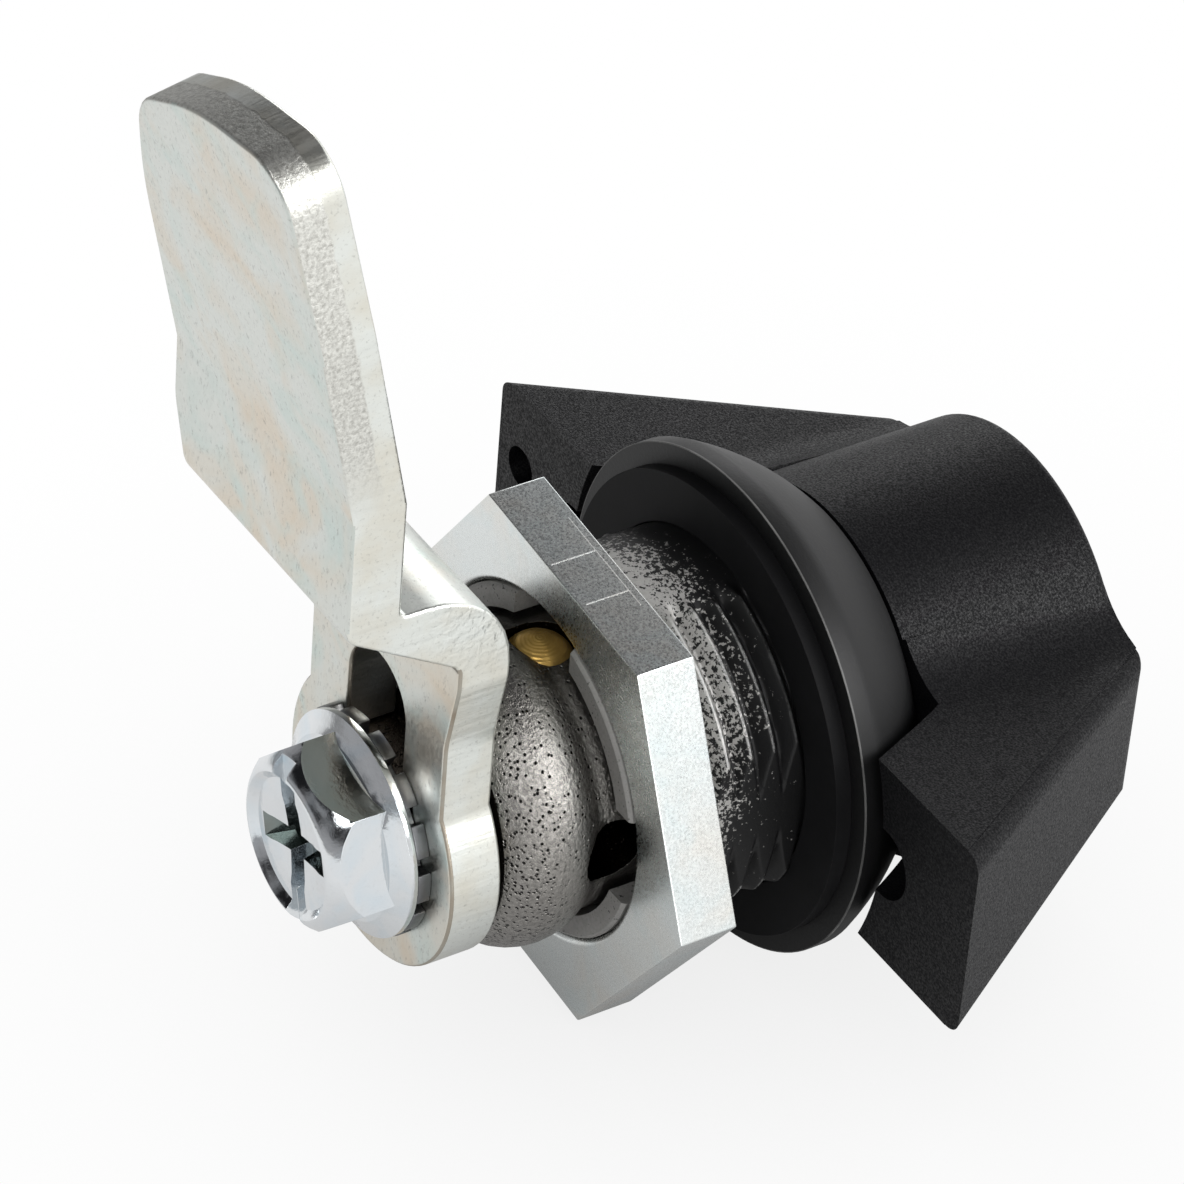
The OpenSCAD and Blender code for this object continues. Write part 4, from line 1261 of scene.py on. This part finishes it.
@dataclass(frozen=True)
class WhitePaper:
    """White backdrop paper: it fills the view and what metal mirrors of it, and keeps the object's shadow."""

    name: str = "white_floor"
    paper: str = "#e4e4e4"
    white: str = "#ffffff"
    lit_way: Triple = (-1.6, -0.4, 0.0)
    lit_at_m: Span = (-0.7, -0.22)
    lit: Span = (0.28, 1.0)
    shade_reach_mm: float = 45.0
    shade_rays: int = 8
    shade_mirrored: float = 0.05
    shade_seen: float = 0.82

    def material(self) -> bpy.types.Material:
        """Builds the material."""
        made, tree, place = new_material(self.name)
        path = add_node(tree, "ShaderNodeLightPath")
        seen = add_node(tree, "ShaderNodeMath", {
            0: path.outputs["Is Camera Ray"], 1: path.outputs["Is Glossy Ray"]}, operation="MAXIMUM")
        shown = add_node(tree, "ShaderNodeMath", {
            0: seen.outputs[0], 1: path.outputs["Is Transmission Ray"]}, operation="MAXIMUM")
        away = add_node(tree, "ShaderNodeVectorMath", {0: place}, operation="LENGTH")
        side = add_node(tree, "ShaderNodeVectorMath", {0: place, 1: self.lit_way}, operation="DOT_PRODUCT")
        near = add_node(tree, "ShaderNodeMath", {
            0: side.outputs["Value"], 1: away.outputs["Value"]}, operation="SUBTRACT")
        sheet = add_node(tree, "ShaderNodeMapRange", {
            "Value": near.outputs[0], "From Min": self.lit_at_m[0], "From Max": self.lit_at_m[1],
            "To Min": self.lit[0], "To Max": self.lit[1]})
        open_sky = add_node(tree, "ShaderNodeAmbientOcclusion", {
            "Distance": self.shade_reach_mm * MM}, samples=self.shade_rays).outputs["AO"]
        dimmed = add_node(tree, "ShaderNodeMapRange", {
            "Value": open_sky, "To Min": self.shade_mirrored, "To Max": 1.0})
        gleam = add_node(tree, "ShaderNodeMath", {
            0: sheet.outputs[0], 1: dimmed.outputs[0]}, operation="MULTIPLY")
        faint = add_node(tree, "ShaderNodeMapRange", {
            "Value": open_sky, "To Min": self.shade_seen, "To Max": 1.0})
        level = add_node(tree, "ShaderNodeMix", {
            0: path.outputs["Is Camera Ray"], VALUE_A: gleam.outputs[0], VALUE_B: faint.outputs[0]},
            data_type="FLOAT")
        paper = add_node(tree, "ShaderNodeBsdfDiffuse", {"Color": linear(self.paper)})
        white = add_node(tree, "ShaderNodeEmission", {
            "Color": linear(self.white), "Strength": level.outputs[0]})
        mixed = add_node(tree, "ShaderNodeMixShader", {
            0: shown.outputs[0], 1: paper.outputs[0], 2: white.outputs[0]})
        add_node(tree, "ShaderNodeOutputMaterial", {"Surface": mixed.outputs[0]})
        return made


@dataclass(frozen=True)
class DimRoom:
    """The studio's walls: patchy and dark overhead, pale at the horizon, bright on the key light's side."""

    name: str = "studio"
    dark: str = "#1e1e20"
    pale: str = "#8c8c8e"
    horizon: str = "#aaaaac"
    bright: str = "#f0f0f0"
    bright_way: Triple = (-0.66, -0.75, -0.55)
    bright_at: Span = (-0.2, 0.85)
    patch_scale: float = 2.6
    patch_at: Span = (0.42, 0.6)
    horizon_at: Span = (0.05, 0.4)

    def world(self) -> bpy.types.World:
        """Builds the world."""
        made = bpy.data.worlds.new(self.name)
        made.use_nodes = True
        tree = made.node_tree
        tree.nodes.clear()
        way = add_node(tree, "ShaderNodeTexCoord").outputs["Generated"]
        lean = add_node(tree, "ShaderNodeVectorMath", {0: way, 1: self.bright_way}, operation="DOT_PRODUCT")
        glow = add_node(tree, "ShaderNodeMapRange", {
            "Value": lean.outputs["Value"], "From Min": self.bright_at[0], "From Max": self.bright_at[1]},
            interpolation_type="SMOOTHSTEP")
        patch = add_node(tree, "ShaderNodeTexNoise", {
            "Vector": way, "Scale": self.patch_scale, "Detail": 1.0})
        gap = add_node(tree, "ShaderNodeMapRange", {
            "Value": patch.outputs[0], "From Min": self.patch_at[0], "From Max": self.patch_at[1]})
        room = add_node(tree, "ShaderNodeMix", {
            "Factor": gap.outputs[0], MIX_A: linear(self.dark), MIX_B: linear(self.pale)}, data_type="RGBA")
        height = add_node(tree, "ShaderNodeSeparateXYZ", {0: way}).outputs["Z"]
        low = add_node(tree, "ShaderNodeMapRange", {
            "Value": height, "From Min": self.horizon_at[0], "From Max": self.horizon_at[1],
            "To Min": 1.0, "To Max": 0.0}, interpolation_type="SMOOTHSTEP")
        wall = add_node(tree, "ShaderNodeMix", {
            "Factor": low.outputs[0], MIX_A: room.outputs[MIXED], MIX_B: linear(self.horizon)},
            data_type="RGBA")
        sky = add_node(tree, "ShaderNodeMix", {
            "Factor": glow.outputs[0], MIX_A: wall.outputs[MIXED], MIX_B: linear(self.bright)},
            data_type="RGBA")
        light = add_node(tree, "ShaderNodeBackground", {"Color": sky.outputs[MIXED], "Strength": 1.0})
        add_node(tree, "ShaderNodeOutputWorld", {"Surface": light.outputs[0]})
        return made


@dataclass(frozen=True)
class Softbox:
    """A square lamp that faces the object: its direction, distance, side and power."""

    name: str
    way: Triple
    away_mm: float
    side_mm: float
    watts: float

    def light(self, aim_mm: Triple) -> bpy.types.Object:
        """Builds the lamp.

        Args:
            aim_mm: Point that it faces.

        Returns:
            The lamp's object.
        """
        data = bpy.data.lights.new(self.name, "AREA")
        data.shape = "SQUARE"
        data.size = self.side_mm * MM
        data.energy = self.watts
        made = bpy.data.objects.new(self.name, data)
        out = Vector(self.way).normalized()
        made.matrix_world = (
            Matrix.Translation((Vector(aim_mm) + out * self.away_mm) * MM)
            @ out.to_track_quat("Z", "Y").to_matrix().to_4x4())
        return made


@dataclass
class Studio:
    """Camera, floor, lamps and world."""

    azimuth: float = 235.1326
    elevation: float = 38.0345
    roll: float = 4.8418
    distance_mm: float = 359.44
    nearest_mm: float = 10.0
    aim_mm: Triple = (3.44, 5.615, 7.543)
    focal_px: float = 6500.0
    sensor_mm: float = 36.0
    floor_half_mm: float = 6000.0
    floor_drop_mm: float = 0.2
    paper: WhitePaper = field(default_factory=WhitePaper)
    room: DimRoom = field(default_factory=DimRoom)
    lamps: tuple[Softbox, ...] = (
        Softbox("softbox_right", (-0.72, -0.45, 0.52), 420, 240, 1.5),
        Softbox("softbox_back", (0.3, -0.93, 0.2), 480, 620, 1.1),
        Softbox("softbox_front", (-0.5, 0.55, 0.67), 330, 130, 0.4),
        Softbox("softbox_low", (-0.95, 0.25, 0.12), 520, 220, 0.6),
        Softbox("softbox_left", (0.75, -0.6, 0.26), 500, 200, 0.3))

    def build(self) -> None:
        """Sets up everything round the object."""
        scene = bpy.context.scene
        scene.view_settings.view_transform = "Standard"
        scene.world = self.room.world()
        self.add_camera()
        self.add_floor()
        for lamp in self.lamps:
            scene.collection.objects.link(lamp.light(self.aim_mm))

    def add_camera(self) -> None:
        """Adds the camera at the photograph's view."""
        a, e, r = (math.radians(x) for x in (self.azimuth, self.elevation, self.roll))
        back = Vector((math.sin(a) * math.cos(e), -math.cos(a) * math.cos(e), math.sin(e)))
        level = Vector((0, 0, 1)).cross(back).normalized()
        rise = back.cross(level)
        right = level * math.cos(r) + rise * math.sin(r)
        data = bpy.data.cameras.new("camera")
        data.sensor_width = self.sensor_mm
        data.lens = self.sensor_mm * self.focal_px / IMAGE_SIDE
        data.clip_start = self.nearest_mm * MM
        camera = bpy.data.objects.new("camera", data)
        turn = Matrix((right, back.cross(right), back)).transposed().to_4x4()
        place = Matrix.Translation((Vector(self.aim_mm) + back * self.distance_mm) * MM)
        camera.matrix_world = place @ turn
        bpy.context.scene.collection.objects.link(camera)
        bpy.context.scene.camera = camera

    def add_floor(self) -> None:
        """Adds the white floor under the object."""
        low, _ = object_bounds()
        mesh = bmesh.new()
        bmesh.ops.create_grid(mesh, x_segments=1, y_segments=1, size=self.floor_half_mm * MM)
        bmesh.ops.translate(mesh, verts=mesh.verts, vec=(0, 0, low.z - self.floor_drop_mm * MM))
        data = bpy.data.meshes.new("floor")
        mesh.to_mesh(data)
        mesh.free()
        data.materials.append(self.paper.material())
        floor = bpy.data.objects.new("floor", data)
        bpy.context.scene.collection.objects.link(floor)
        floor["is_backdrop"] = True


def main() -> None:
    """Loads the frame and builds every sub-assembly."""
    logging.basicConfig(level=logging.INFO, format="%(message)s")
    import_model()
    for part in (Knob(), Barrel(), Rotor(), CamSet(), Studio()):
        part.build()


if __name__ == "__main__":
    main()
